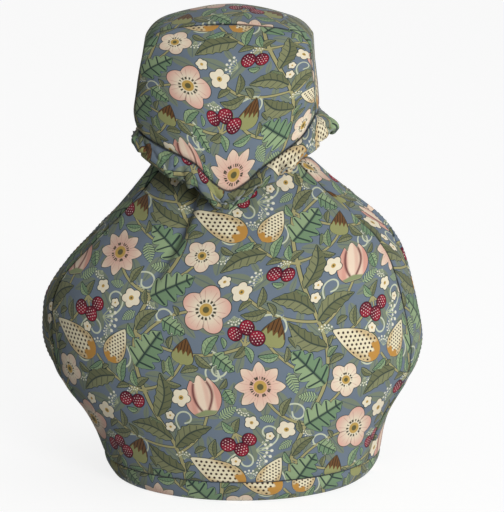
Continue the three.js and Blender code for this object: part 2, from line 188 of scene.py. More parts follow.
@dataclass(frozen=True)
class CosyForm:
    """The shape that all the pieces share, as the solids have it.

    The tables are given by height, by the share across or by the turn round the neck. middle_x and
    middle_y move the shape to where the solids stand.
    """

    middle_x: float
    middle_y: float
    hem_top: float = 11.0
    neck_top: float = 165.0
    slit_share: float = 0.46
    body_roundness: float = 0.93
    hood_roundness: float = 0.9
    left_corner: float = 181.5
    right_corner: float = 189.5
    shoulder: float = 224.0
    hood_top: float = 235.0
    hood_strip: float = 30.0
    crown: float = 7.8
    corner_crown: float = 4.4
    side_swell: float = 0.9
    collar_bend: float = 3.0

    # height, left edge, left seam, right seam, right edge, front, back, half of the strip's depth
    BODY: ClassVar[Rows] = (
        (11, -68.4, -63, 70, 77.2, 72.2, 70, 29.5),
        (24, -73, -68.2, 73.5, 79.4, 75, 73, 31),
        (36, -78.4, -74.2, 78.4, 83, 78, 76, 33),
        (48, -88, -82.8, 85.2, 89.6, 80.5, 78.5, 34),
        (60, -95, -88.2, 91, 96, 81.5, 80, 35),
        (72, -99.6, -90.9, 92, 98.9, 81.5, 80, 35),
        (84, -100, -91.2, 90.2, 98.6, 80, 79, 35),
        (96, -98.2, -90.4, 87.4, 96.2, 76.5, 76, 34),
        (108, -90.2, -85, 84, 92.6, 71.5, 71, 33),
        (120, -78.8, -74.2, 79, 87.2, 64.5, 64, 31),
        (132, -66.5, -62.3, 69.5, 78, 56, 56, 28),
        (144, -55, -51, 55.5, 63.8, 47.5, 48, 24),
        (154, -47, -42.5, 44, 50.8, 39.5, 40, 19),
        (165, -39, -34, 33, 38, 31, 31.5, 14),
    )
    SLITS: ClassVar[dict[Hand, tuple[float, float]]] = {Hand.LEFT: (48, 134), Hand.RIGHT: (52, 148)}
    FOLDS: ClassVar[tuple[Fold, ...]] = (
        Fold(Side.FRONT, -0.44, 96, 158, 9, 2.6),
        Fold(Side.FRONT, 0.5, 112, 160, 11, 2.2),
        Fold(Side.FRONT, 0.06, 124, 166, 10, 1.8),
        Fold(Side.FRONT, 0.8, 12, 46, 11, 2.4),
        Fold(Side.FRONT, -0.74, 12, 40, 10, 1.8),
        Fold(Side.BACK, 0.36, 100, 160, 10, 2.4),
        Fold(Side.BACK, -0.4, 108, 160, 11, 2.4),
        Fold(Side.BACK, -0.02, 122, 166, 9, 1.8),
    )
    # share of the way from the seam to the inner edge, height, how far in
    HEM: ClassVar[Rows] = ((0, 11, 0), (0.25, 6.6, 1.1), (0.5, 2.4, 3.4), (0.75, 0, 6.4), (1, 0, 13.5))
    HOOD_SIDES: ClassVar[Rows] = (
        (178, -46.2, 42.2), (190, -48.9, 42.6), (202, -47.8, 42.1), (213, -45.8, 41),
        (224, -43.4, 40),
    )
    HOOD_POINT: ClassVar[Rows] = (
        (-1, 181.5), (-0.78, 176.4), (-0.5, 171.5), (-0.3, 167), (-0.15, 160), (0.04, 154.8),
        (0.22, 158.4), (0.4, 165.4), (0.62, 172.4), (0.84, 179.6), (1, 189.5),
    )
    # share of the way up, front, back
    HOOD_SWELL: ClassVar[Rows] = (
        (0, 55.5, 54), (0.25, 54, 53), (0.5, 51, 50.5), (0.75, 46, 46), (0.9, 39, 39), (1, 30, 30),
    )
    # turn, how far the fold stands out, how far it hangs
    COLLAR: ClassVar[Rows] = (
        (0, 3.2, 9), (0.037, 3.6, 10.2), (0.075, 4.8, 13), (0.1, 5, 12.5), (0.13, 6, 9.4),
        (0.15, 5.2, 9.8), (0.175, 4.8, 11.5), (0.213, 4.4, 12), (0.25, 6, 13.5), (0.3, 10.8, 10.5),
        (0.36, 8, 11.5), (0.44, 4.6, 13.5), (0.5, 4.4, 14), (0.56, 4.6, 12.5), (0.62, 5.8, 9.8),
        (0.68, 4.8, 11.5), (0.75, 4, 10.5), (0.81, 4.4, 9.2), (0.88, 3.6, 10), (0.94, 4.2, 9),
        (1, 3.2, 9),
    )

    @classmethod
    def from_solids(cls) -> "CosyForm":
        """Move the form to where the solids of the hem band and the hood stand.

        Returns:
            The form.
        """
        hem_low, hem_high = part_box("hem_band")
        hood_low, hood_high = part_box("hood_strip")
        return cls(
            middle_x=(hem_low[0] + hem_high[0]) / 2 / MM - (cls.BODY[0][1] + cls.BODY[0][4]) / 2,
            middle_y=(hood_low[1] + hood_high[1]) / 2 / MM,
        )

    def place(self, x: Array, y: Array, z: Array) -> Array:
        """Return points where the solids stand, from the tables' x, y and z."""
        x, y, z = np.broadcast_arrays(x, y, z)
        return np.stack([x + self.middle_x, y + self.middle_y, z], -1)

    def panel(self, side: Side, across: Array, z: Array) -> Array:
        """Shape a body panel.

        Args:
            side: Front or back.
            across: From -1 at the left seam to 1 at the right one, seen from the front.
            z: The heights.

        Returns:
            The panel's points.
        """
        across, z = np.broadcast_arrays(across, z)
        left, right, strip = (read_off(self.BODY, column, z) for column in (2, 3, 7))
        middle, half = (left + right) / 2, (right - left) / 2
        x = middle + half * across
        sunk = np.zeros_like(x)
        for fold in self.FOLDS:
            if fold.side is side:
                off = (x - (middle + half * fold.across)) / fold.width
                along = np.clip((z - fold.low) / (fold.high - fold.low), 0, 1)
                sunk += fold.depth * np.exp(-off * off) * np.sin(math.pi * along)
        reach = read_off(self.BODY, 5 if side is Side.FRONT else 6, z) - strip - sunk * (1 - across**2)
        return self.place(x, side.facing * (strip + reach * swell(across, self.body_roundness)), z)

    def strip(self, hand: Hand, through: Array, z: Array) -> Array:
        """Shape a side strip.

        Args:
            hand: Left or right.
            through: From -1 at the front seam to 1 at the back one.
            z: The heights.

        Returns:
            The strip's points.
        """
        through, z = np.broadcast_arrays(through, z)
        seam = read_off(self.BODY, 2 if hand is Hand.LEFT else 3, z)
        edge = read_off(self.BODY, 1 if hand is Hand.LEFT else 4, z)
        depth = read_off(self.BODY, 7, z)
        return self.place(seam + (edge - seam) * (1 - through**2), depth * through, z)

    def slit(self, hand: Hand, z: Array) -> Array:
        """Shape a slit.

        Args:
            hand: Left or right.
            z: The heights.

        Returns:
            Half of the slit's width at each height, as a share of its strip.
        """
        bottom, top = self.SLITS[hand]
        along = (2 * z - bottom - top) / (top - bottom)
        return self.slit_share * np.maximum(0, 1 - along * along) ** 0.8

    def hood_panel(self, side: Side, across: Array, up: Array) -> Array:
        """Shape a hood panel.

        Args:
            side: Front or back.
            across: From -1 at the left seam to 1 at the right one, seen from the front.
            up: From 0 at its pointed edge to 1 at the top seam.

        Returns:
            The panel's points.
        """
        across, up = np.broadcast_arrays(across, up)
        left = read_off(self.HOOD_SIDES, 1, mix(self.left_corner, self.shoulder, up))
        right = read_off(self.HOOD_SIDES, 2, mix(self.right_corner, self.shoulder, up))
        upper = self.hood_top - (self.hood_top - self.shoulder) * (0.4 * across**2 + 0.6 * across**10)
        stands = read_off(self.HOOD_SWELL, 1 if side is Side.FRONT else 2, up) - self.hood_strip
        depth = self.hood_strip + stands * swell(across, self.hood_roundness)
        z = mix(read_off(self.HOOD_POINT, 1, across), upper, up)
        return self.place(mix(left, right, (across + 1) / 2), side.facing * depth, z)

    def hood_edge_strip(self, through: Array, along: Array) -> Array:
        """Shape the hood strip.

        Args:
            through: From -1 at the front seam to 1 at the back one.
            along: 0 at the left corner, 1 and 2 at the ends of the top, 3 at the right corner.

        Returns:
            The strip's points.
        """
        through, along = np.broadcast_arrays(through, along)
        on_top = (along > 1) & (along < 2)
        across = np.where(on_top, spread_out(np.clip(along - 1, 0, 1)), np.sign(along - 1.5))
        up = np.where(on_top, 1, np.where(along <= 1, along, 3 - along))
        top_crown = mix(self.crown, self.corner_crown, np.sin(math.pi / 2 * across) ** 2)
        crown = np.where(on_top, top_crown, self.corner_crown * up**5)
        point = self.hood_panel(Side.FRONT, across, up)
        stand = 1 - through * through
        point[..., 0] += self.side_swell * np.sign(across) * across**4 * stand
        point[..., 1] = self.middle_y + self.hood_strip * through
        point[..., 2] += crown * stand
        return point

    def _round(self, turn: Array, panel: Callable[..., Array], strip: Callable[..., Array]) -> Array:
        """Place points round the cosy, a quarter of a turn each for front, right, back and left.

        Args:
            turn: How far round each point lies, in turns from the front's left seam.
            panel: Gives a panel's points for its side and the places across it.
            strip: Gives a strip's points for its hand and the places through it.

        Returns:
            The points.
        """
        turn = np.mod(turn, 1)
        points = np.zeros(turn.shape + (3,))
        front, right = (panel, Side.FRONT, 1), (strip, Hand.RIGHT, 1)
        back, left = (panel, Side.BACK, -1), (strip, Hand.LEFT, -1)
        for quarter, (cloth, where, sign) in enumerate((front, right, back, left)):
            here = (turn >= quarter / 4) & (turn < (quarter + 1) / 4)
            share = turn[here] * 4 - quarter
            points[here] = cloth(where, sign * (spread_out(share) if cloth is panel else 2 * share - 1))
        return points

    def body_edge(self, turn: Array, z: float) -> Array:
        """Return the points round the body at one height, for how many turns round they lie."""
        return self._round(turn, partial(self.panel, z=z), partial(self.strip, z=z))

    def collar_fold(self, turn: Array) -> Array:
        """Shape the collar by the seven points of its section, from hood to neck.

        Args:
            turn: How far round each section lies, in turns.

        Returns:
            Seven points for each turn.
        """
        corners = {Hand.LEFT: 0.0, Hand.RIGHT: 3.0}
        rim = self._round(
            turn,
            partial(self.hood_panel, up=0.0),
            lambda hand, through: self.hood_edge_strip(through, corners[hand]),
        )
        neck = self.body_edge(turn, self.neck_top)
        out, drop = (read_off(self.COLLAR, column, np.mod(turn, 1))[..., None] for column in (1, 2))
        up = np.array([0.0, 0.0, 1.0])
        outward = unit((rim - [self.middle_x, self.middle_y, 0]) * [1, 1.3, 0])
        bend = rim + outward * (out - self.collar_bend) - up * (drop - self.collar_bend)
        under = bend - outward * self.collar_bend
        return np.stack(
            [
                rim,
                rim + outward * 0.7 * out - up * 0.3 * drop,
                bend + outward * self.collar_bend,
                bend - up * self.collar_bend,
                under,
                (under + neck) / 2 - up * 1.6,
                neck,
            ],
            -2,
        )

    def hem_fold(self, turn: Array, share: Array) -> Array:
        """Shape the hem band.

        Args:
            turn: How far round each point lies, in turns.
            share: From 0 at its seam to 1 at its edge under the pot.

        Returns:
            The band's points.
        """
        turn, share = np.broadcast_arrays(turn, share)
        z, inset = np.maximum(read_off(self.HEM, 1, share), 0), read_off(self.HEM, 2, share)
        points = self.body_edge(turn, self.hem_top)
        middle = (self.BODY[0][1] + self.BODY[0][4]) / 2 + self.middle_x
        outward = unit((points - [middle, self.middle_y, 0]) * [1, 1, 0])
        points = points - outward * inset[..., None]
        points[..., 2] = z
        return points


@dataclass(frozen=True)
class Wrinkles:
    """Smooth unevenness over cloth, from a seeded lattice that repeats every 64 cells."""

    seed: int

    def at(self, x: Array, y: Array) -> Array:
        """Read the unevenness.

        Args:
            x: Places across, in cells of the lattice.
            y: Places up, in cells of the lattice.

        Returns:
            Smooth values from -1 to 1.
        """
        lattice = np.random.default_rng(self.seed).uniform(-1, 1, (64, 64))
        x, y = np.broadcast_arrays(x, y)
        column, row = np.floor(x).astype(int), np.floor(y).astype(int)
        fx, fy = x - column, y - row
        fx, fy = (f * f * f * (f * (6 * f - 15) + 10) for f in (fx, fy))
        left, right, low, high = column % 64, (column + 1) % 64, row % 64, (row + 1) % 64
        below = mix(lattice[low, left], lattice[low, right], fx)
        above = mix(lattice[high, left], lattice[high, right], fx)
        return mix(below, above, fy)

    def crease(self, x: Array, y: Array) -> Array:
        """Return values that lie near 1 but drop along winding, narrow creases."""
        return np.minimum(1, np.abs(self.at(x, y)) * 3.2) ** 0.7


@dataclass
class ClothGrid:
    """The outer face of one piece of cloth: rows of points up it, columns to the right.

    slit is the column at which the cloth is cut, and the rows at which the cut stands open. relief is
    how far the face stands off the plain form at each point.
    """

    points: Array
    thickness: float
    print_at: tuple[float, float]
    ends: dict[str, Edge]
    slit: Slit | None = None
    normals: Array = field(init=False)
    relief: Array = field(init=False)
    across: Array = field(init=False)
    up: Array = field(init=False)
    cloth_x: Array = field(init=False)
    cloth_y: Array = field(init=False)
    shared: dict[str, Array] = field(init=False, default_factory=dict)

    SEAM_GAP: ClassVar[float] = 0.12
    # edge finish: share of the thickness that the face dips by, reach of the dip, thickness left
    PINCH: ClassVar[dict[Edge, tuple[float, float, float]]] = {
        Edge.SEAM: (0.36, 2.8, 0.7),
        Edge.PRESSED: (0.16, 2.2, 1.6),
        Edge.LIP: (0.46, 2.2, 0.3),
    }

    def __post_init__(self) -> None:
        """Measure the cloth along its rows and columns, and find which way it faces."""
        halves = np.split(self.points, [self.slit[0]], 1) if self.slit else [self.points]
        facing = [np.cross(np.gradient(half, axis=1), np.gradient(half, axis=0)) for half in halves]
        self.normals = unit(np.concatenate(facing, 1))
        self.across = run_lengths(self.points, 1)
        self.up = run_lengths(self.points, 0)
        middle = self.points.shape[1] // 2
        self.cloth_x = self.across - self.across[:, middle : middle + 1]
        self.cloth_y = np.repeat(self.up[:, middle : middle + 1], self.points.shape[1], 1)

    def border(self, end: str, inset: int = 0) -> tuple[slice | int, slice | int]:
        """Return the index of the points along one end, or along a line some steps inside it."""
        at = inset if end in ("low", "left") else -1 - inset
        return (at, slice(None)) if end in ("low", "high") else (slice(None), at)

    def from_end(self, end: str) -> Array:
        """Return how far every point lies from one end of the cloth, along it."""
        run = self.up if end in ("low", "high") else self.across
        return run if end in ("low", "left") else (run[-1:] if end == "high" else run[:, -1:]) - run

    def from_slit(self) -> Array:
        """Measure how far every point lies from the slit's lips, where the slit stands open.

        Returns:
            The lengths, large where the cloth has no slit or the slit is shut.
        """
        if self.slit is None:
            return np.full(self.up.shape, 99.0)
        column, open_rows = self.slit
        gap = self.across[:, column] - self.across[:, column - 1]
        to_lip = np.minimum(
            np.abs(self.across - self.across[:, column : column + 1]),
            np.abs(self.across - self.across[:, column - 1 : column]),
        )
        return np.where(open_rows[:, None], to_lip + 2.5 * np.exp(-gap / 1.5)[:, None], 99.0)

    def puckers(self, wrinkles: Wrinkles) -> Array:
        """Raise the small puckers that stand along the sewn ends.

        Args:
            wrinkles: The unevenness that they follow.

        Returns:
            Their height at each point.
        """
        total = np.zeros(self.up.shape)
        for end, finish in self.ends.items():
            if finish is Edge.SEAM:
                off = self.from_end(end)
                run = self.cloth_y if end in ("left", "right") else self.cloth_x
                rise = np.exp(-off / 4.2) * (1 - np.exp(-off / 0.9))
                total += 0.22 * rise * wrinkles.at(run / 4.4, off / 14 + 7 * len(end))
        return total

    def _pinch(self, off: Array, finish: Edge) -> Array:
        """Return how far an edge is felt at each distance off it, from 1 at the edge to 0."""
        near = np.clip(1 - off / self.PINCH[finish][1], 0, 1)
        return (1 - np.sqrt(1 - 0.96 * near**2)) / 0.8

    def faces(self) -> tuple[Array, Array]:
        """Finish the cloth with its relief and its edges.

        Returns:
            The points of its outer face and of its inner face.
        """
        direction = self.normals.copy()
        stays, left_thick = np.ones(self.up.shape), np.zeros(self.up.shape)
        dips = np.zeros(self.up.shape)
        felt = [(end, self.from_end(end), finish) for end, finish in self.ends.items()]
        felt.append(("slit", self.from_slit(), Edge.LIP))
        for end, off, finish in felt:
            dip, reach, thin = self.PINCH[finish]
            near = self._pinch(off, finish)
            dips = dips + near * dip * self.thickness * (1 - dips / self.thickness)
            left_thick = np.maximum(left_thick, near * thin)
            stays = stays * (1 - near)
            if end in self.shared:
                ways = self.shared[end]
                ways = ways[:, None] if end in ("left", "right") else ways[None, :]
                turned = np.clip(1 - off / reach, 0, 1)[..., None] ** 2
                direction = direction + turned * (ways - self.normals)
        direction = unit(direction)
        thick = self.thickness * stays + left_thick
        outer = self.points + direction * (self.relief * np.sqrt(stays) - dips)[..., None]
        return self._pulled(outer), self._pulled(outer - direction * thick[..., None])

    def _pulled(self, points: Array) -> Array:
        """Draw each sewn border back by half of the seam's gap.

        Args:
            points: The points of one face.

        Returns:
            The points, with their borders moved.
        """
        points = points.copy()
        for end, finish in self.ends.items():
            if finish.sewn:
                at, inside = self.border(end), self.border(end, 1)
                points[at] += self.SEAM_GAP / 2 * unit(points[inside] - points[at])
        return points


@dataclass
class SeamBook:
    """Every sewn border of the cosy, so that two pieces dip the same way at their seam."""

    grids: list[ClothGrid] = field(default_factory=list)

    def share(self) -> None:
        """Give each grid the mean of the normals that meet at each point of its sewn ends."""
        sewn = [
            (number, end, grid.border(end))
            for number, grid in enumerate(self.grids)
            for end, finish in grid.ends.items()
            if finish.sewn
        ]
        points = [self.grids[number].points[at] for number, _, at in sewn]
        normals = np.concatenate([self.grids[number].normals[at] for number, _, at in sewn])
        owners = [number for (number, _, _), run in zip(sewn, points) for _ in run]
        tree = kdtree.KDTree(len(owners))
        for index, point in enumerate(np.concatenate(points)):
            tree.insert(point, index)
        tree.balance()
        start = 0
        for (number, end, _), run in zip(sewn, points):
            met = []
            for point, own in zip(run, normals[start:]):
                nearest: dict[int, int] = {}
                for _, index, _ in sorted(tree.find_range(point, 1.3), key=lambda found: found[2]):
                    nearest.setdefault(owners[index], index)
                met.append(own + sum(normals[i] for owner, i in nearest.items() if owner != number))
            self.grids[number].shared[end] = unit(np.array(met))
            start += len(run)


@dataclass
class ClothMesh:
    """A closed mesh of one piece of cloth, with the print's distances on its outer face.

    coarser is how many steps of the outer face one step of the inner face takes.
    """

    name: str
    grid: ClothGrid
    coarser: int

    def build(self, layout: "PrintLayout") -> bpy.types.Object:
        """Make the object, with its faces pointing outwards and its inner face marked.

        Args:
            layout: The print.

        Returns:
            The object.
        """
        outer, inner = self.grid.faces()
        rows, columns = outer.shape[:2]
        over = np.arange(rows * columns).reshape(rows, columns)
        if self.grid.slit is not None:
            column, open_rows = self.grid.slit
            over[~open_rows, column] = over[~open_rows, column - 1]
        step = self.coarser
        under = over[::step, ::step] + rows * columns
        points = np.concatenate([outer.reshape(-1, 3), inner.reshape(-1, 3)])
        faces, reverse = self._quads(over, False), self._quads(under, True)
        walls = self._walls(over, under)
        used = np.unique(np.concatenate([faces.ravel(), reverse.ravel()]))
        lookup = np.zeros(len(points), int)
        lookup[used] = np.arange(len(used))
        mesh = bpy.data.meshes.new(self.name)
        polygons = lookup[faces].tolist() + [[int(lookup[i]) for i in wall] for wall in walls]
        outside = len(polygons)
        polygons += lookup[reverse].tolist()
        mesh.from_pydata((points[used] * MM).tolist(), [], polygons)
        mesh.polygons.foreach_set("material_index", (np.arange(len(polygons)) >= outside).astype(int))
        mesh.polygons.foreach_set("use_smooth", np.ones(len(polygons), bool))
        self._write_print(mesh, layout, used, rows * columns)
        mesh.validate()
        piece = bpy.data.objects.new(self.name, mesh)
        bpy.context.scene.collection.objects.link(piece)
        return piece

    def _quads(self, index: Array, flipped: bool) -> Array:
        """Join a grid of points into faces, leaving out the slit's column.

        Args:
            index: The numbers of the points.
            flipped: Whether the faces look inwards.

        Returns:
            Four point numbers for each face.
        """
        corners = [index[:-1, :-1], index[:-1, 1:], index[1:, 1:], index[1:, :-1]]
        faces = np.stack(corners[::-1] if flipped else corners, -1)
        if self.grid.slit is not None:
            faces = np.delete(faces, self.grid.slit[0] - 1, 1)
        return faces.reshape(-1, 4)

    def _walls(self, over: Array, under: Array) -> list[list[int]]:
        """Join the outer face to the inner one round every edge.

        Args:
            over: The numbers of the outer face's points.
            under: The numbers of the inner face's points.

        Returns:
            The point numbers of each face.
        """
        runs = [
            (over[0, ::-1], under[0, ::-1]),
            (over[-1], under[-1]),
            (over[:, 0], under[:, 0]),
            (over[::-1, -1], under[::-1, -1]),
        ]
        if self.grid.slit is not None:
            column = self.grid.slit[0]
            runs += [(over[::-1, column - 1], under[::-1, column - 1]), (over[:, column], under[:, column])]
            shut = {int(i) for i in over[~self.grid.slit[1], column - 1]}
        walls = []
        for number, (upper, lower) in enumerate(runs):
            for place in range(len(lower) - 1):
                start = place * self.coarser
                top = [int(i) for i in upper[start : start + self.coarser + 1]]
                face = dict.fromkeys(top + [int(lower[place + 1]), int(lower[place])])
                sealed = number > 3 and {top[0], top[-1]} <= shut
                if not sealed and len(face) > 2 and top[0] != top[-1]:
                    walls.append(list(face))
        return walls

    def _write_print(self, mesh: bpy.types.Mesh, layout: "PrintLayout", used: Array, outer: int) -> None:
        """Keep the places on the flat cloth and the print's distances on the mesh.

        Args:
            mesh: The mesh.
            layout: The print.
            used: For each of the mesh's points, its number among all of both faces.
            outer: How many points the outer face has.
        """
        grid = self.grid
        # the relief goes with the places on the flat cloth: the material paints shade into its deepest
        # hollows
        flat = np.stack([grid.cloth_x.ravel(), grid.cloth_y.ravel(), grid.relief.ravel()], -1)
        where = flat[used % outer]
        self._note(mesh, "cloth", where)
        # the distance to the nearest seam, which the material turns into painted shade in the seam's
        # crease; pressed seams get less of it
        pressed_by = {Edge.SEAM: 0.0, Edge.PRESSED: 0.3}
        off = np.min([grid.from_end(e) + pressed_by.get(f, 9) for e, f in grid.ends.items()], 0)
        self._note(mesh, "seam", off.ravel()[used % outer])
        printed = used < outer
        x, y = (where[printed, axis] + grid.print_at[axis] for axis in (0, 1))
        for layer, rows in layout.fields(x, y).items():
            values = np.tile([9.0, 0, 0], (len(used), 1))
            values[printed] = rows[:, :3]
            self._note(mesh, layer, values)
            if layer in ("leaf", "bloom"):
                shade = np.zeros(len(used))
                shade[printed] = rows[:, 3]
                self._note(mesh, layer + "_shade", shade)

    @staticmethod
    def _note(mesh: bpy.types.Mesh, name: str, values: Array) -> None:
        """Keep a number or a vector for each point of the mesh as an attribute."""
        kind, key = ("FLOAT_VECTOR", "vector") if values.ndim > 1 else ("FLOAT", "value")
        mesh.attributes.new(name, kind, "POINT").data.foreach_set(key, values.astype(np.float32).ravel())


class Shape(Enum):
    """The shapes that the print is drawn from."""

    VERDURE = "verdure"
    LEAF = "leaf"
    LOBED = "lobed"
    FROND = "frond"
    POD = "pod"
    TULIP = "tulip"
    BUD = "bud"
    ROSE = "rose"
    STARFLOWER = "starflower"
    BLOSSOM = "blossom"
    BERRY = "berry"
    SPRAY = "spray"

    @property
    def layer(self) -> str:
        """Return the name of the attribute that this shape is drawn in."""
        shared = {"lobed": "leaf", "rose": "bloom", "starflower": "bloom", "blossom": "bloom"}
        return shared.get(self.value, self.value)

    @property
    def is_round(self) -> bool:
        """Return whether the shape grows from its middle and not from its foot."""
        return self in (Shape.ROSE, Shape.STARFLOWER, Shape.BLOSSOM, Shape.BERRY)


@dataclass(frozen=True)
class Motif:
    """One shape of the print, in millimetres on the flat cloth.

    x and y are its foot, or the middle of a round one. turn is the way it points, in degrees clockwise
    from up, size its length or its radius, and shade runs from 0 to 1 between its two dyes.
    """

    kind: Shape
    x: float
    y: float
    turn: float
    size: float
    width: float = 0.0
    shade: float = 0.0

    # the angle between two stalks of a spray, in radians
    FAN_STEP: ClassVar[float] = 0.42

    def discs(self) -> list[Disc]:
        """Find the discs that other shapes keep clear of.

        Returns:
            The x, y and radius of each.
        """
        if self.kind.is_round:
            return [(self.x, self.y, self.size)]
        way_x, way_y = math.sin(math.radians(self.turn)), math.cos(math.radians(self.turn))
        count = max(3, round(1.6 * self.size / self.width))
        found = []
        for share in np.linspace(0.06, 0.96, count):
            radius = max(0.8, self.width * math.sin(math.pi * share**0.8) ** 0.8)
            reach = self.size * share
            found.append((self.x + way_x * reach, self.y + way_y * reach, radius))
        return found

    def outline(self, along: Array, across: Array) -> tuple[Array, Array, Array]:
        """Measure points against the shape.

        Args:
            along: Distance from the foot or middle, the way that the shape points, in millimetres.
            across: Distance to the side, in millimetres.

        Returns:
            The distance to the outline, negative inside, and the two places on the shape that its
            markings are drawn by: length and side, or radius and the wave round it or place across it.
        """
        kind, size = self.kind, self.size
        if kind is Shape.BERRY:
            return np.hypot(along, across * 1.05) - size, along / size, across / size
        if kind.is_round:
            petals = 8 if kind is Shape.STARFLOWER else 5
            radius = np.hypot(along, across)
            wave = np.cos(petals * np.arctan2(across, along))
            if kind is Shape.STARFLOWER:
                reach = size * (1 - 0.36 * (np.arccos(np.clip(wave, -1, 1)) / math.pi) ** 1.2)
            else:
                reach = size * (0.7 + 0.3 * ((1 + wave) / 2) ** 0.45)
            return (radius - reach) * 0.9, radius / size, wave
        if kind is Shape.SPRAY:
            radius, place = np.hypot(along, across), np.arctan2(across, along) / self.FAN_STEP
            gap = np.maximum((np.abs(place) - 2.4) * self.FAN_STEP * radius, radius - 1.03 * size)
            return gap, radius / size, place
        share = np.clip(along / size, 0, 1)
        side = across / self.width
        beyond = np.maximum(-along, 0) + np.maximum(along - size, 0)
        if kind is Shape.TULIP:
            half = np.sin(math.pi * (0.12 + 0.8 * share**0.85)) ** 0.8
            tips = 0.8 + 0.2 * np.abs(np.cos(1.5 * math.pi * np.clip(side, -1, 1)))
            gap = np.maximum(np.abs(across) - self.width * half, along - size * tips)
            return np.maximum(gap, -along), share, side
        if kind is Shape.LEAF:
            across = across - 0.12 * size * np.sin(math.pi * share) * (1 if self.shade > 0.5 else -1)
            teeth = np.abs(np.sin(math.pi * (6 * share + 0.35 * np.abs(across) / self.width)))
            half = np.sin(math.pi * share**0.8) ** 0.85 * (1 - 0.16 * teeth)
        elif kind is Shape.LOBED:
            lobes = np.abs(np.sin(math.pi * (4.2 * share - 0.5 * np.minimum(np.abs(side), 1)))) ** 0.6
            half = np.sin(math.pi * share**0.66) ** 0.6 * (0.46 + 0.54 * lobes)
        else:
            power = {Shape.POD: 0.62, Shape.BUD: 0.5}.get(kind, 0.8)
            half = np.sin(math.pi * share**power) ** 0.8
        gap = np.abs(across) - self.width * half
        gap = np.where(beyond > 0, np.hypot(beyond, np.maximum(gap, 0)), gap)
        return gap, share, across / self.width


@dataclass(frozen=True)
class Stalk:
    """One stem of the print, from point to point, bowed to its left by bow times its length."""

    start: tuple[float, float]
    end: tuple[float, float]
    bow: float
    thick: float = 0.6
    pale: ClassVar[float] = 0.0

    def points(self) -> Array:
        """Draw the stalk.

        Returns:
            Rows of x and y.
        """
        start, end = np.array(self.start), np.array(self.end)
        run = end - start
        knee = (start + end) / 2 + np.array([-run[1], run[0]]) * self.bow
        t = np.linspace(0, 1, 17)[:, None]
        return (1 - t) ** 2 * start + 2 * t * (1 - t) * knee + t * t * end


@dataclass(frozen=True)
class Tendril:
    """A thin shoot that leaves a stem and winds up into a curl."""

    x: float
    y: float
    turn: float
    length: float
    curl: float
    thick: float = 0.42
    pale: ClassVar[float] = 1.0

    def points(self) -> Array:
        """Draw the tendril.

        Returns:
            Rows of x and y.
        """
        share = np.linspace(0, 1, 26)
        heading = math.radians(self.turn) + self.curl * (0.3 * share + share**2)
        steps = np.stack([np.sin(heading[:-1]), np.cos(heading[:-1])], 1) * (self.length / 25)
        return np.array([self.x, self.y]) + np.concatenate([np.zeros((1, 2)), np.cumsum(steps, 0)])


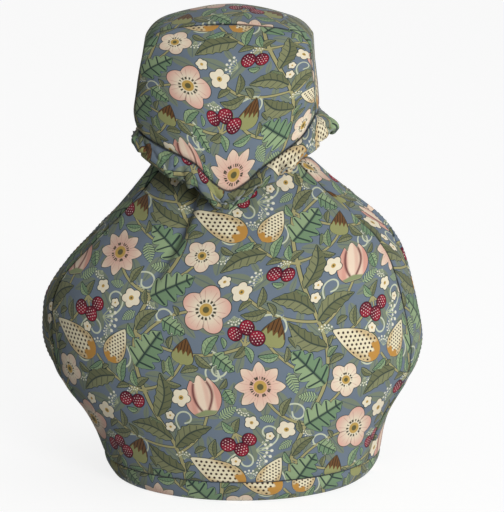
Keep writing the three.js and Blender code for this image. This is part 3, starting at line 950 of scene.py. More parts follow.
@dataclass
class PrintLayout:
    """The cloth's print: a half-drop repeat of winding stems with flowers, leaves, pods and berries.

    width and height are the repeat in millimetres. The same design stands again half a repeat across
    and half a repeat up. tries is how many places are compared for each shape that fills a gap,
    fillers how many such shapes there are at most, and least_room the room that they ask for.
    """

    width: float = 150.0
    height: float = 130.0
    wander: float = 11.0
    seed: int = 11
    tries: int = 500
    fillers: int = 150
    least_room: float = 1.5
    chance: np.random.Generator = field(init=False)
    motifs: list[Motif] = field(default_factory=list)
    stalks: list[Stalk | Tendril] = field(default_factory=list)
    taken: list[Disc] = field(default_factory=list)

    # kind, x, y, turn, size, width, shade
    FLOWERS: ClassVar[tuple] = (
        (Shape.ROSE, 27, 111, 10, 12.4, 0, 1),
        (Shape.STARFLOWER, 51, 73, 0, 12.6, 0, 0.5),
        (Shape.TULIP, 25, 58, -12, 21, 8.8, 0.8),
        (Shape.POD, 41, 20, -62, 30, 7.4, 0),
        (Shape.POD, 49, 17.5, 34, 20, 5.8, 0),
        (Shape.BUD, 57, 93, 24, 15, 6.2, 0),
        (Shape.BUD, 13, 84, 16, 13, 5.4, 0),
        (Shape.ROSE, 20, 9, 30, 8.8, 0, 0.45),
        (Shape.BLOSSOM, 43.5, 120, 0, 5.2, 0, 0.05),
        (Shape.BLOSSOM, 12, 67, 30, 4.8, 0, 0.05),
        (Shape.BLOSSOM, 63.5, 50, 50, 5, 0, 0.1),
    )

    # the foot of a bunch of berries, the way it hangs and how many there are
    BUNCHES: ClassVar[tuple] = (
        (45, 93, 12, 3),
        (38, 49, 165, 3),
        (64, 6, 200, 2),
    )

    # which main stem a stalk leaves, at what height, where it ends and its bow
    BRANCHES: ClassVar[tuple] = (
        (0, 90, (27, 111), 0.25),
        (1, 52, (51, 73), 0.25),
        (0, 36, (25, 58), -0.2),
        (1, 4, (43, 19), 0.22),
        (1, 76, (57, 93), 0.2),
        (0, 70, (13, 84), -0.25),
        (0, -6, (20, 9), -0.25),
        (1, 104, (43.5, 120), 0.22),
        (0, 98, (45, 93), -0.25),
        (0, 30, (38, 49), -0.3),
    )

    # where a tendril starts, the way it sets off, its length and how far it winds
    TENDRILS: ClassVar[tuple] = (
        (36, 84, -70, 26, -4.4),
        (62, 62, 60, 24, 4.2),
        (30, 90, 120, 25, 4.4),
        (52, 40, 70, 27, -4.4),
        (12, 48, -40, 24, 4.2),
        (34, 34, 40, 25, 4.4),
        (56, 108, 80, 25, 4.2),
        (10, 100, 20, 24, -4.2),
        (28, 26, 190, 26, -4.4),
        (60, 26, 150, 23, 4.2),
    )

    def __post_init__(self) -> None:
        """Lay the design out, from its largest flowers to the leaves that fill it."""
        self.chance = np.random.default_rng(self.seed)
        for flower in self.FLOWERS:
            self._keep(Motif(*flower))
        for column, height, end, bow in self.BRANCHES:
            foot = column * self.width / 2 + self.stem(height - column * self.height / 2)
            self.stalks.append(Stalk((float(foot), height), end, bow))
        for bunch in self.BUNCHES:
            self._hang_bunch(*bunch)
        self._leaf_stems()
        for shoot in self.TENDRILS:
            tendril = Tendril(*shoot)
            self.stalks.append(tendril)
            self.taken += [(float(x), float(y), 0.8) for x, y in tendril.points()[5::3]]
        self._fill()
        self._lay_verdure()

    def stem(self, height: Array | float) -> Array | float:
        """Return how far the winding main stem stands from its column at each height."""
        return self.wander * np.sin(2 * math.pi * height / self.height + 0.5)

    def nearest(self, x: Array, y: Array, at: tuple[float, float]) -> tuple[Array, Array]:
        """Return the way from the nearest copy of a place to each point.

        Args:
            x: Points across the cloth.
            y: Points up the cloth.
            at: The place in the repeat.

        Returns:
            The distances across and up.
        """
        half_w, half_h = self.width / 2, self.height / 2
        dx, dy = x - at[0], y - at[1]
        column = np.round(dx / half_w)
        dx, dy = dx - column * half_w, dy - column * half_h
        dy = dy - self.height * np.round(dy / self.height)
        near_x, near_y, near = dx, dy, dx * dx + dy * dy
        for step_x in (-half_w, half_w):
            for step_y in (-half_h, half_h):
                apart = (dx - step_x) ** 2 + (dy - step_y) ** 2
                closer = apart < near
                near_x = np.where(closer, dx - step_x, near_x)
                near_y = np.where(closer, dy - step_y, near_y)
                near = np.where(closer, apart, near)
        return near_x, near_y

    def _room(self, discs: list[Disc]) -> float:
        """Measure the room that a shape would have.

        Args:
            discs: The shape's discs.

        Returns:
            The least distance from them to what is laid out already.
        """
        taken = np.array(self.taken)
        least = math.inf
        for x, y, radius in discs:
            dx, dy = self.nearest(taken[:, 0], taken[:, 1], (x, y))
            least = min(least, float((np.hypot(dx, dy) - taken[:, 2]).min()) - radius)
        return least

    def _keep(self, motif: Motif, skip: int = 0) -> None:
        """Add a shape, and keep others clear of all but the first skip of its discs."""
        self.motifs.append(motif)
        self.taken += motif.discs()[skip:]

    def _hang_bunch(self, x: float, y: float, turn: float, count: int) -> None:
        """Add a bunch of berries on short stalks that meet at one foot, with two leaves.

        Args:
            x: The foot's place across.
            y: The foot's place up.
            turn: The way that the bunch hangs, in degrees clockwise from up.
            count: How many berries it has.
        """
        for place in range(count):
            angle = math.radians(turn + 46 * (place - (count - 1) / 2))
            reach = 9.5 if place % 2 else 7.6
            end = (x + reach * math.sin(angle), y + reach * math.cos(angle))
            self._keep(Motif(Shape.BERRY, *end, math.degrees(angle), 3.5 + 0.15 * place))
            self.stalks.append(Stalk((x, y), end, 0.12 * (place - 1), 0.42))
        self._keep(Motif(Shape.LEAF, x, y, turn + 180 - 30, 8.5, 2.1, 0.2), 1)
        self._keep(Motif(Shape.LEAF, x, y, turn + 180 + 34, 8, 2.0, 0.4), 1)

    def _leaf_stems(self) -> None:
        """Set leaves in turn on the two sides of every stem, as long as there is room for."""
        heights = np.linspace(0, self.height, 66)
        runs = [np.stack([self.stem(heights), heights], 1)]
        runs += [stalk.points() for stalk in self.stalks if stalk.thick > 0.5]
        for run in runs:
            legs = np.diff(run, axis=0)
            reached = np.concatenate([[0], np.cumsum(np.hypot(*legs.T))])
            side = 1
            for at in np.arange(4.0, reached[-1] - 2, 4.6):
                leg = min(int(np.searchsorted(reached, at)) - 1, len(legs) - 1)
                share = (at - reached[leg]) / (reached[leg + 1] - reached[leg])
                foot = run[leg] + legs[leg] * share
                heading = math.degrees(math.atan2(legs[leg][0], legs[leg][1]))
                self._try_leaf(foot, heading, side)
                side = -side

    def _try_leaf(self, foot: Array, heading: float, side: int) -> None:
        """Add the longest leaf that finds room at one place on a stem.

        Args:
            foot: The place.
            heading: The way that the stem runs there, in degrees clockwise from up.
            side: 1 for the stem's right side and -1 for its left.
        """
        for size in (23, 19, 15.5, 12.5, 10, 7.5):
            for lean in (48, 62, 34, 78):
                lobed = size > 12 and self.chance.random() < 0.7
                kind = Shape.LOBED if lobed else Shape.LEAF
                width = size * (0.36 if lobed else 0.22)
                leaf = Motif(kind, *foot, heading + side * lean, size, width, self.chance.random())
                if self._room(leaf.discs()[1:]) > 0.5:
                    self._keep(leaf, 1)
                    return

    def _widest(self) -> Disc:
        """Find the roomiest of some places taken at random.

        Returns:
            The place's x and y, and how far it is from everything.
        """
        x, y = (self.chance.uniform(0, most, self.tries) for most in (self.width / 2, self.height))
        room = np.full(self.tries, np.inf)
        for other_x, other_y, radius in self.taken:
            dx, dy = self.nearest(x, y, (other_x, other_y))
            room = np.minimum(room, np.hypot(dx, dy) - radius)
        best = int(room.argmax())
        return float(x[best]), float(y[best]), float(room[best])

    @staticmethod
    def _foot(x: float, y: float, turn: float, size: float) -> tuple[float, float]:
        """Return the foot of a shape whose middle stands at x and y."""
        turn = math.radians(turn)
        return x - size / 2 * math.sin(turn), y - size / 2 * math.cos(turn)

    def _fill(self) -> None:
        """Fill the roomiest places with fronds, leaves, sprays and small blossoms."""
        for number in range(self.fillers):
            x, y, room = self._widest()
            if room < self.least_room:
                return
            if room > 2.6 and number % 6 == 0:
                turn = self.chance.uniform(0, 72)
                self._keep(Motif(Shape.BLOSSOM, x, y, turn, min(room - 0.4, 3.6)))
                continue
            if room > 2.4 and number % 5 == 2:
                turn, size = self.chance.uniform(0, 360), min(1.8 * room, 9.5)
                self._keep(Motif(Shape.SPRAY, *self._foot(x, y, turn, size), turn, size, 0.5 * size))
                continue
            kind = Shape.LEAF
            if room > 3.2:
                kind = Shape.FROND if number % 2 else Shape.LOBED
            full = {Shape.FROND: 0.26, Shape.LOBED: 0.36}.get(kind, 0.24)
            tried = (
                Motif(kind, *self._foot(x, y, turn, size), turn, size, size * full, self.chance.random())
                for size in np.clip(np.arange(6.4, 2.2, -0.8) * room, 4.5, 21)
                for turn in self.chance.uniform(0, 360, 7)
            )
            fits = next((shape for shape in tried if self._room(shape.discs()) > 0.35), None)
            if fits:
                self._keep(fits)
            else:
                self.taken.append((x, y, 0.6))

    def _lay_verdure(self) -> None:
        """Lay the pale leaves that lie behind everything else, clear of each other alone."""
        shown, self.taken = self.taken, [(0.0, 0.0, 0.1)]
        for size in (15.0, 11.0, 8.0):
            for _ in range(330):
                x, y, turn = self.chance.uniform(0, (self.width / 2, self.height, 360))
                leaf = Motif(Shape.VERDURE, x, y, turn, size, size * 0.19)
                if self._room(leaf.discs()) > 0.7:
                    self._keep(leaf)
        self.taken = shown

    def fields(self, x: Array, y: Array) -> dict[str, Array]:
        """Measure points of the cloth against the design.

        Args:
            x: Points across the cloth, in millimetres.
            y: Points up the cloth, in millimetres.

        Returns:
            For each layer, rows of the distance to its nearest shape, negative inside, the two places
            on that shape and its shade. The stem's rows are its signed and plain distances and its dye.
        """
        layers = {kind.layer: np.tile([9.0, 0, 0, 0], (len(x), 1)) for kind in Shape}
        for motif in self.motifs:
            sine, cosine = math.sin(math.radians(motif.turn)), math.cos(math.radians(motif.turn))
            reach = 0.0 if motif.kind.is_round else motif.size / 2
            dx, dy = self.nearest(x, y, (motif.x + reach * sine, motif.y + reach * cosine))
            limit = 2.4 + (motif.size if motif.kind.is_round else math.hypot(reach, motif.width))
            close = np.nonzero(dx * dx + dy * dy < limit * limit)[0]
            along = dx[close] * sine + dy[close] * cosine + reach
            gap, first, second = motif.outline(along, dx[close] * cosine - dy[close] * sine)
            rows = layers[motif.kind.layer]
            nearer = gap < rows[close, 0]
            shade = motif.shade + (2.0 if motif.kind in (Shape.LOBED, Shape.STARFLOWER) else 0.0)
            rows[close[nearer]] = np.stack([gap, first, second, np.full(len(gap), shade)], 1)[nearer]
        layers["stem"] = self._stem_field(x, y)
        return layers

    def _stem_field(self, x: Array, y: Array) -> Array:
        """Measure points against the stems.

        Args:
            x: Points across the cloth.
            y: Points up the cloth.

        Returns:
            Rows of the nearest stem's signed distance in half thicknesses, its plain one and its dye.
        """
        runs = []
        for copy in range(2):
            up = y - copy * self.height / 2
            across = x - copy * self.width / 2
            across = across - self.width * np.round(across / self.width)
            slope = self.wander * 2 * math.pi / self.height * np.cos(2 * math.pi * up / self.height + 0.5)
            offset = (across - self.stem(up)) / np.sqrt(1 + slope**2)
            runs.append((np.arange(len(x)), offset, np.abs(offset), 0.85, 0.0))
        for stalk in self.stalks:
            points = stalk.points()
            middle = points.mean(0)
            dx, dy = self.nearest(x, y, tuple(middle))
            limit = np.hypot(*(points - middle).T).max() + 3
            close = np.nonzero(dx * dx + dy * dy < limit * limit)[0]
            here = np.stack([dx[close], dy[close]], 1) + middle
            best, signed = np.full(len(close), 9.0), np.full(len(close), 9.0)
            for start, end in zip(points[:-1], points[1:]):
                leg, away = end - start, here - start
                share = np.clip(away @ leg / (leg @ leg), 0, 1)
                apart = np.hypot(*(away - share[:, None] * leg).T)
                side = (leg[0] * away[:, 1] - leg[1] * away[:, 0]) / math.hypot(*leg)
                nearer = apart < best
                best, signed = np.where(nearer, apart, best), np.where(nearer, side, signed)
            runs.append((close, signed, best, stalk.thick, stalk.pale))
        rows = np.tile([9.0, 9.0, 0.0], (len(x), 1))
        for at, signed, plain, thick, pale in runs:
            nearer = plain < rows[at, 1]
            rows[at[nearer]] = np.stack([signed / thick, plain, np.full(len(plain), pale)], 1)[nearer]
        return rows


@dataclass(frozen=True)
class Dye:
    """A dye of the print, as it shows on the cloth, from 0 to 255."""

    red: int
    green: int
    blue: int

    def linear(self) -> tuple[float, float, float, float]:
        """Return the dye in the shader's linear terms, with full cover."""
        parts = [part / 255 for part in (self.red, self.green, self.blue)]
        return *(p / 12.92 if p <= 0.04045 else ((p + 0.055) / 1.055) ** 2.4 for p in parts), 1.0


SLATE = Dye(109, 122, 136)
INK = Dye(40, 54, 54)
CREAM = Dye(234, 224, 198)
BLUSH = Dye(222, 172, 156)


class Signal:
    """A number that changes over the cloth: operators on it add Math nodes to its tree."""

    def __init__(self, bench: "NodeBench", socket: Socket) -> None:
        """Wrap an output socket of one of the bench's nodes."""
        self.bench = bench
        self.socket = socket

    def _math(self, operation: str, *values: "Signal | float") -> "Signal":
        """Return the result of a Math node."""
        node = self.bench.add("ShaderNodeMath", {"operation": operation}, dict(enumerate(values)))
        return Signal(self.bench, node.outputs[0])

    def __add__(self, other: "Signal | float") -> "Signal":
        """Return this number plus another."""
        return self._math("ADD", self, other)

    def __sub__(self, other: "Signal | float") -> "Signal":
        """Return this number less another."""
        return self._math("SUBTRACT", self, other)

    def __rsub__(self, other: float) -> "Signal":
        """Return a plain number less this one."""
        return self._math("SUBTRACT", other, self)

    def __mul__(self, other: "Signal | float") -> "Signal":
        """Return this number times another."""
        return self._math("MULTIPLY", self, other)

    def __abs__(self) -> "Signal":
        """Return the number without its sign."""
        return self._math("ABSOLUTE", self)

    def sine(self) -> "Signal":
        """Return the sine of the number, in radians."""
        return self._math("SINE", self)

    def cosine(self) -> "Signal":
        """Return the cosine of the number, in radians."""
        return self._math("COSINE", self)

    def angle(self) -> "Signal":
        """Return the share of half a turn whose cosine the number is."""
        return self._math("ARCCOSINE", self) * (1 / math.pi)

    def floor(self) -> "Signal":
        """Return the whole number below."""
        return self._math("FLOOR", self)

    def fraction(self) -> "Signal":
        """Return what is left of the number above the whole number below."""
        return self._math("FRACT", self)

    def larger(self, other: "Signal | float") -> "Signal":
        """Return the larger of two numbers."""
        return self._math("MAXIMUM", self, other)

    def _ramp(self, edge: float, soft: float, ends: dict[int, float]) -> "Signal":
        """Return a ramp over a soft edge: it runs from 0 to 1, or between the ends that are given."""
        values = {0: self, 1: edge - soft / 2, 2: edge + soft / 2, **ends}
        return Signal(self.bench, self.bench.add("ShaderNodeMapRange", {"clamp": True}, values).outputs[0])

    def above(self, edge: float, soft: float = 0.12) -> "Signal":
        """Return 1 where the number is above an edge and 0 below, softened over a width."""
        return self._ramp(edge, soft, {})

    def below(self, edge: float, soft: float = 0.12) -> "Signal":
        """Return 1 where the number is below an edge and 0 above, softened over a width."""
        return self._ramp(edge, soft, {3: 1.0, 4: 0.0})


class NodeBench:
    """Adds the nodes of one tree, whether a material's, the world's or a modifier's."""

    def __init__(self, tree: bpy.types.NodeTree) -> None:
        """Start on a tree."""
        self.tree = tree

    def add(self, kind: str, settings: dict | None = None, values: dict | None = None) -> bpy.types.Node:
        """Add a node.

        Args:
            kind: The node's type.
            settings: Its properties, which are set first.
            values: What its inputs, by name or number, hold or are linked to.

        Returns:
            The node.
        """
        node = self.tree.nodes.new(kind)
        for name, value in (settings or {}).items():
            setattr(node, name, value)
        self.feed(node, values or {})
        return node

    def feed(self, node: bpy.types.Node, values: dict) -> None:
        """Set or link a node's inputs.

        Args:
            node: The node.
            values: A signal, a socket, a dye or a plain value for each input, by name or number.
        """
        for place, value in values.items():
            value = value.socket if isinstance(value, Signal) else value
            if isinstance(value, Socket):
                self.tree.links.new(value, node.inputs[place])
            else:
                node.inputs[place].default_value = value.linear() if isinstance(value, Dye) else value


class MaterialBench(NodeBench):
    """Builds one material round its surface shader."""

    def __init__(self, name: str) -> None:
        """Start a material.

        Args:
            name: The material's name.
        """
        self.material = bpy.data.materials.new(name)
        self.material.use_nodes = True
        super().__init__(self.material.node_tree)

    def dress(self, values: dict) -> Material:
        """Feed the surface shader, and return the material."""
        self.feed(self.tree.nodes["Principled BSDF"], values)
        return self.material

    def vector(self, name: str) -> Socket:
        """Return one of the mesh's vector attributes."""
        return self.add("ShaderNodeAttribute", {"attribute_name": name}).outputs["Vector"]

    def attribute(self, name: str) -> tuple[Signal, ...]:
        """Return the three numbers of one of the mesh's vector attributes."""
        parts = self.add("ShaderNodeSeparateXYZ", {}, {0: self.vector(name)})
        return tuple(Signal(self, socket) for socket in parts.outputs)

    def number(self, name: str) -> Signal:
        """Return one of the mesh's number attributes."""
        return Signal(self, self.add("ShaderNodeAttribute", {"attribute_name": name}).outputs["Fac"])

    def over(self, share: Signal | float, low: Socket | Dye, top: Socket | Dye, way: str = "MIX") -> Socket:
        """Lay one colour over another by a share, and return the result."""
        settings = {"data_type": "RGBA", "blend_type": way}
        return self.add("ShaderNodeMix", settings, {0: share, 6: low, 7: top}).outputs[2]

    def noise(self, vector: Socket, scale: float, detail: float) -> Signal:
        """Return a noise from 0 to 1 that follows a vector."""
        values = {"Vector": vector, "Scale": scale, "Detail": detail}
        return Signal(self, self.add("ShaderNodeTexNoise", {}, values).outputs[0])

    def bump(self, height: Signal, deep: float) -> Socket:
        """Return the normal of a relief that is so many millimetres deep."""
        values = {"Height": height, "Distance": deep * MM, "Strength": 0.7}
        return self.add("ShaderNodeBump", {}, values).outputs["Normal"]


class PrintBench(MaterialBench):
    """A material's bench that paints the print, one kind of shape over another."""

    colour: Socket | Dye = SLATE

    def paint(self) -> Socket:
        """Paint all the shapes on the slate ground, from the hindmost kind on, then make the tone uneven
        and paint shade into seams and hollows.

        Returns:
            The colour of the cloth.
        """
        low = (self._verdure, self._stems, self._sprays, self._leaves, self._fronds, self._pods)
        for layer in (*low, self._tulips, self._buds, self._blooms, self._berries, self._age):
            layer()
        return self.colour

    def _lay(self, share: Signal, colour: Socket | Dye) -> None:
        """Lay a colour over what is painted, by a share."""
        self.colour = self.over(share, self.colour, colour)

    def _lay_shape(self, gap: Signal, body: Socket | Dye, rim: float = 0.38, ink: Dye = INK) -> None:
        """Lay a shape over its inked rim."""
        self._lay(gap.below(rim), ink)
        self._lay(gap.below(0), body)

    @staticmethod
    def _dots(first: Signal, second: Signal, size: float, soft: float) -> Signal:
        """Mask dots in staggered rows, one to each whole number.

        Args:
            first: The number that the rows follow.
            second: The number that the dots in a row follow.
            size: A dot's radius.
            soft: How wide its softened edge is.

        Returns:
            The mask.
        """
        row = first.floor()
        off_first, off_second = first - row - 0.5, (second + (row * 0.5).fraction()).fraction() - 0.5
        return (off_first * off_first + off_second * off_second).below(size * size, soft)

    def _verdure(self) -> None:
        """Paint the pale leaves that lie behind everything."""
        gap, _, side = self.attribute("verdure")
        self._lay(gap.below(0), Dye(121, 131, 112))
        self._lay(abs(side).below(0.1) * gap.below(-0.3), Dye(99, 112, 112))

    def _stems(self) -> None:
        """Paint the stems with their inked edges, and the pale tendrils without."""
        signed, plain, pale = self.attribute("stem")
        width, near, pale = abs(signed), plain.below(1.6, 0.3), pale.above(0.5)
        self._lay(width.below(1.45, 0.2) * near * (1 - pale), INK)
        dye = self.over(pale, Dye(164, 158, 112), Dye(198, 204, 178))
        self._lay(width.below(1.0, 0.2) * near, dye)

    def _sprays(self) -> None:
        """Paint the fine sprays: fans of thin stalks that end in pale dots."""
        gap, share, place = self.attribute("spray")
        inside = gap.below(0)
        off = (place - (place + 0.5).floor()) * share * Motif.FAN_STEP
        between = (place - place.floor() - 0.5) * share * Motif.FAN_STEP
        stalks = abs(off).below(0.024, 0.016) * share.below(0.88, 0.04)
        tips = (off * off + (share - 0.88) * (share - 0.88)).below(0.0085, 0.003)
        inner = (between * between + (share - 0.62) * (share - 0.62)).below(0.006, 0.002)
        self._lay(stalks * inside, Dye(176, 184, 146))
        self._lay(tips.larger(inner) * inside, Dye(226, 224, 204))

    def _leaves(self) -> None:
        """Paint the leaves: one side of the rib darker, with inked veins."""
        gap, along, side = self.attribute("leaf")
        shade = self.number("leaf_shade")
        lobed = shade.above(1.5)
        olive = shade.above(0.3, 0.1) * (1 - lobed) + shade.above(2.85, 0.1)
        light = self.over(olive, Dye(146, 168, 128), Dye(131, 134, 98))
        dark = self.over(olive, Dye(116, 144, 110), Dye(108, 112, 80))
        self._lay_shape(gap, self.over(side.above(0), light, dark), 0.34)
        width = abs(side)
        across = along * 6 - width * 0.9
        across = across + lobed * (along * -1.8 + width * 0.4 - 0.5)
        veins = (across * (2 * math.pi)).cosine().above(0.86, 0.1) * gap.below(-0.5)
        marks = width.below(0.07).larger(veins * (lobed * 0.4 + 0.55)) * gap.below(-0.3)
        self._lay(marks, Dye(40, 56, 56))

    def _fronds(self) -> None:
        """Paint the feathered fronds, with the ground between their leaflets."""
        gap, along, side = self.attribute("frond")
        width = abs(side)
        leaflets = ((along * 8 - width * 0.9) * (2 * math.pi)).cosine().above(-0.1, 0.2)
        self._lay(gap.below(0.3) * 0.55, INK)
        self._lay(leaflets.larger(width.below(0.12)) * gap.below(0), Dye(160, 180, 138))
        self._lay(width.below(0.05) * gap.below(-0.5) * 0.8, Dye(52, 70, 58))

    def _pods(self) -> None:
        """Paint the speckled pods with their ochre caps."""
        gap, along, side = self.attribute("pod")
        edge = (abs(side) + (1 - along) * 0.25).above(0.72, 0.3)
        self._lay_shape(gap, self.over(edge, Dye(232, 222, 190), Dye(206, 184, 140)))
        dots = self._dots(along * 13, side * 3.2, 0.28, 0.05) * gap.below(-0.7) * along.above(0.16, 0.05)
        self._lay(dots, Dye(66, 48, 36))
        cap = (along + (side * 9).cosine() * 0.05).below(0.18, 0.04) * gap.below(-0.1)
        self._lay(cap, Dye(190, 140, 66))

    def _tulips(self) -> None:
        """Paint the closed tulips: pale petals with rosy edges over a green foot."""
        gap, along, side = self.attribute("tulip")
        width = abs(side)
        rosy = (width * 0.8 + (side * 9).sine() * 0.2).above(0.35, 0.5)
        self._lay_shape(gap, self.over(rosy, Dye(236, 214, 190), Dye(214, 158, 142)))
        petal = (along * (0.9 * math.pi)).sine() * 0.52
        self._lay(abs(width - petal).below(0.07) * gap.below(-0.4), Dye(110, 62, 60))
        foot = (along + width * 0.1).below(0.15, 0.03) * gap.below(-0.1)
        self._lay(foot, Dye(140, 150, 108))

    def _buds(self) -> None:
        """Paint the buds: a green foot and a brown, striped tip."""
        gap, along, side = self.attribute("bud")
        tip = (along + (side * 14).cosine() * 0.08).above(0.45, 0.04)
        self._lay_shape(gap, self.over(tip, Dye(150, 152, 100), Dye(110, 76, 42)))
        stripes = (side * 22).cosine().above(0.6, 0.3) * along.above(0.5, 0.05) * gap.below(-0.3)
        self._lay(stripes, Dye(64, 44, 28))

    def _blooms(self) -> None:
        """Paint the open flowers: petals with their lines, a ring of stamens and a golden heart."""
        gap, radius, wave = self.attribute("bloom")
        shade = self.number("bloom_shade")
        star, big, inside = shade.above(1.5), shade.above(0.2, 0.1), gap.below(-0.15)
        edge = (radius - 0.35).larger(0.0) * 1.6
        rose = self.over(shade.above(0.5, 1.0) * edge.above(0.5, 1.0), CREAM, BLUSH)
        pale = self.over(edge.above(0.5, 1.0) * 0.8, BLUSH, CREAM)
        self._lay_shape(gap, self.over(star * 0.85, rose, pale), 0.36)
        turn = wave.angle()
        creases = turn.above(0.93, 0.05) * radius.above(0.28, 0.05) * inside
        self._lay(creases, Dye(128, 84, 80))
        lines = (turn * (4 * math.pi)).cosine().above(0.9, 0.1) * radius.above(0.34, 0.04)
        self._lay(lines * radius.below(0.8, 0.1) * big * inside * 0.55, Dye(190, 130, 118))
        stamens = radius.above(0.3, 0.03) * radius.below(0.42, 0.03)
        stamens = stamens * (turn * (3 * math.pi)).cosine().above(0.0, 0.2) * big * inside
        self._lay(stamens, Dye(70, 66, 52))
        self._lay(radius.below(0.26, 0.03) * inside, Dye(196, 160, 84))
        self._lay(radius.below(0.13, 0.03) * inside, Dye(96, 92, 58))

    def _berries(self) -> None:
        """Paint the round berries, darker below and dotted with seeds."""
        gap, along, side = self.attribute("berry")
        lit = (side - along).above(0.0, 0.8)
        body = self.over(lit, Dye(142, 28, 50), Dye(98, 16, 38))
        self._lay_shape(gap, body, 0.35, Dye(40, 24, 32))
        seeds = self._dots(along * 2.6 + 10.5, side * 2.6 + 10.5, 0.22, 0.04) * gap.below(-0.7) * 0.9
        self._lay(seeds, Dye(232, 200, 196))

    def _age(self) -> None:
        """Make the dyes slightly uneven over patches and threads, and paint shade: darker along the seams'
        creases and in the cloth's deepest hollows.
        """
        where = self.vector("cloth")
        patches = self.noise(where, 0.045, 3.0).above(0.5, 0.6)
        threads = self.noise(where, 1.6, 1.0).above(0.5, 0.8)
        seam = self.number("seam")
        # painted shade: a thin dark line in the crease of each seam, and a soft darkening beside it
        crease = seam.below(0.6, 0.36) * 0.68 + seam.below(1.6, 2.2) * 0.1
        # painted shade where the cloth's relief sinks deepest, as in the collar's crumples
        hollow_shade = self.attribute("cloth")[2].below(-1.2, 1.9) * 0.45
        # the uneven tone of the dyes, darkened by the painted shade
        tone_and_shade = (patches * 0.07 + threads * 0.06 + 0.9) * (1 - crease) * (1 - hollow_shade)
        grey = self.add("ShaderNodeCombineXYZ", {}, {0: tone_and_shade, 1: tone_and_shade, 2: tone_and_shade}).outputs[0]
        self.colour = self.over(1.0, self.colour, grey, "MULTIPLY")


@dataclass(frozen=True)
class PrintedCotton:
    """The printed face of the cloth: matt cotton with leaves, flowers, pods and berries on slate."""

    roughness: float = 0.86
    sheen: float = 0.12
    thread: float = 0.62
    weave_height: float = 0.05

    def make(self) -> Material:
        """Make the material, with a plain weave of slightly uneven threads.

        Returns:
            The material.
        """
        bench = PrintBench("printed_cotton")
        grain = bench.noise(bench.vector("cloth"), 0.9, 2.0)
        x, y, _ = bench.attribute("cloth")
        turns = 2 * math.pi / self.thread
        weave = (x * turns).sine() * (y * turns).sine() * 0.5 + grain
        return bench.dress(
            {
                "Base Color": bench.paint(),
                "Sheen Weight": self.sheen,
                "Sheen Roughness": 0.5,
                "Specular IOR Level": 0.25,
                "Roughness": grain * 0.1 + (self.roughness - 0.05),
                "Normal": bench.bump(weave, self.weave_height),
            }
        )


@dataclass(frozen=True)
class PlainReverse:
    """The unprinted reverse of the cloth: the slate dye gone pale, with its weave."""

    dye: Dye = Dye(150, 155, 152)
    darker: Dye = Dye(132, 138, 138)
    roughness: float = 0.9
    grain_depth: float = 0.08

    def make(self) -> Material:
        """Make the material.

        Returns:
            The material.
        """
        bench = MaterialBench("cotton_reverse")
        where = bench.vector("cloth")
        patches = bench.noise(where, 0.06, 3.0).above(0.5, 0.7)
        grain = bench.noise(where, 0.9, 2.0)
        return bench.dress(
            {
                "Base Color": bench.over(patches, self.dye, self.darker),
                "Roughness": grain * 0.1 + (self.roughness - 0.05),
                "Specular IOR Level": 0.2,
                "Normal": bench.bump(grain, self.grain_depth),
            }
        )


@dataclass(frozen=True)
class SewingThread:
    """Twisted polyester-cotton thread in dark slate."""

    dye: Dye = Dye(58, 68, 76)
    darker: Dye = Dye(44, 52, 60)
    roughness: float = 0.62

    def make(self) -> Material:
        """Make the material.

        Returns:
            The material.
        """
        bench = MaterialBench("sewing_thread")
        twist = bench.noise(bench.add("ShaderNodeTexCoord").outputs["Object"], 1800.0, 1.0)
        colour = bench.over(twist, self.dye, self.darker)
        return bench.dress({"Base Color": colour, "Roughness": twist * 0.2 + (self.roughness - 0.1)})


@dataclass(frozen=True)
class Cut:
    """The flat cut of one piece of cloth, and how the piece is put in its place.

    print_at is the point of the print that lies at the middle of its lower edge. seed is the first of
    its two seeds. coarser is how many steps of its outer face one step of its inner face takes.
    """

    width: float
    length: float
    area: float
    print_at: tuple[float, float]
    seed: int
    coarser: int
    held: str
    rests_on: tuple[str, ...]


@dataclass
class Workroom:
    """What every piece is made with: the shared form, the print, the seams and the finishes."""

    form: CosyForm
    layout: PrintLayout
    cotton: Material
    reverse: Material
    seams: SeamBook = field(default_factory=SeamBook)


@dataclass
class Assembly:
    """Pieces of cloth that are made together, by the names of the solids that they stand for.

    Where a relief is worked out, x / 34 asks for wrinkles that are about 34 mm long.
    """

    room: Workroom
    thickness: float = 3.6
    grids: dict[str, ClothGrid] = field(default_factory=dict)

    CUTS: ClassVar[dict[str, Cut]]
    SEWN: ClassVar[dict[str, Edge]] = dict.fromkeys(("low", "high", "left", "right"), Edge.SEAM)

    def _grid(self, name: str, points: Array, ends: dict[str, Edge], slit: Slit | None = None) -> ClothGrid:
        """Make the grid of one piece and enter it in the book of seams.

        Args:
            name: The piece's solid.
            points: The piece's plain form.
            ends: How its ends are finished.
            slit: Where it is cut, if it is.

        Returns:
            The grid.
        """
        self.grids[name] = ClothGrid(points, self.thickness, self.CUTS[name].print_at, ends, slit)
        self.room.seams.grids.append(self.grids[name])
        return self.grids[name]

    def _wrinkles(self, name: str) -> tuple[Wrinkles, Wrinkles]:
        """Return the two unevennesses of one piece: the soft one and the small one."""
        return Wrinkles(self.CUTS[name].seed), Wrinkles(self.CUTS[name].seed + 1)

    def build(self) -> None:
        """Make the meshes, and put each piece of cloth in the place of its solid."""
        for node, cut in self.CUTS.items():
            grid = self.grids[node]
            piece = ClothMesh(f"{node}_cloth", grid, cut.coarser).build(self.room.layout)
            piece.data.materials.append(self.room.cotton)
            piece.data.materials.append(self.room.reverse)
            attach(piece, "root")
            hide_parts(node)
            cut.width * MM
            spans = np.ptp(grid.cloth_x), np.ptp(grid.cloth_y)
            log.info("%s: %d faces, cloth %.0f by %.0f mm", piece.name, len(piece.data.polygons), *spans)


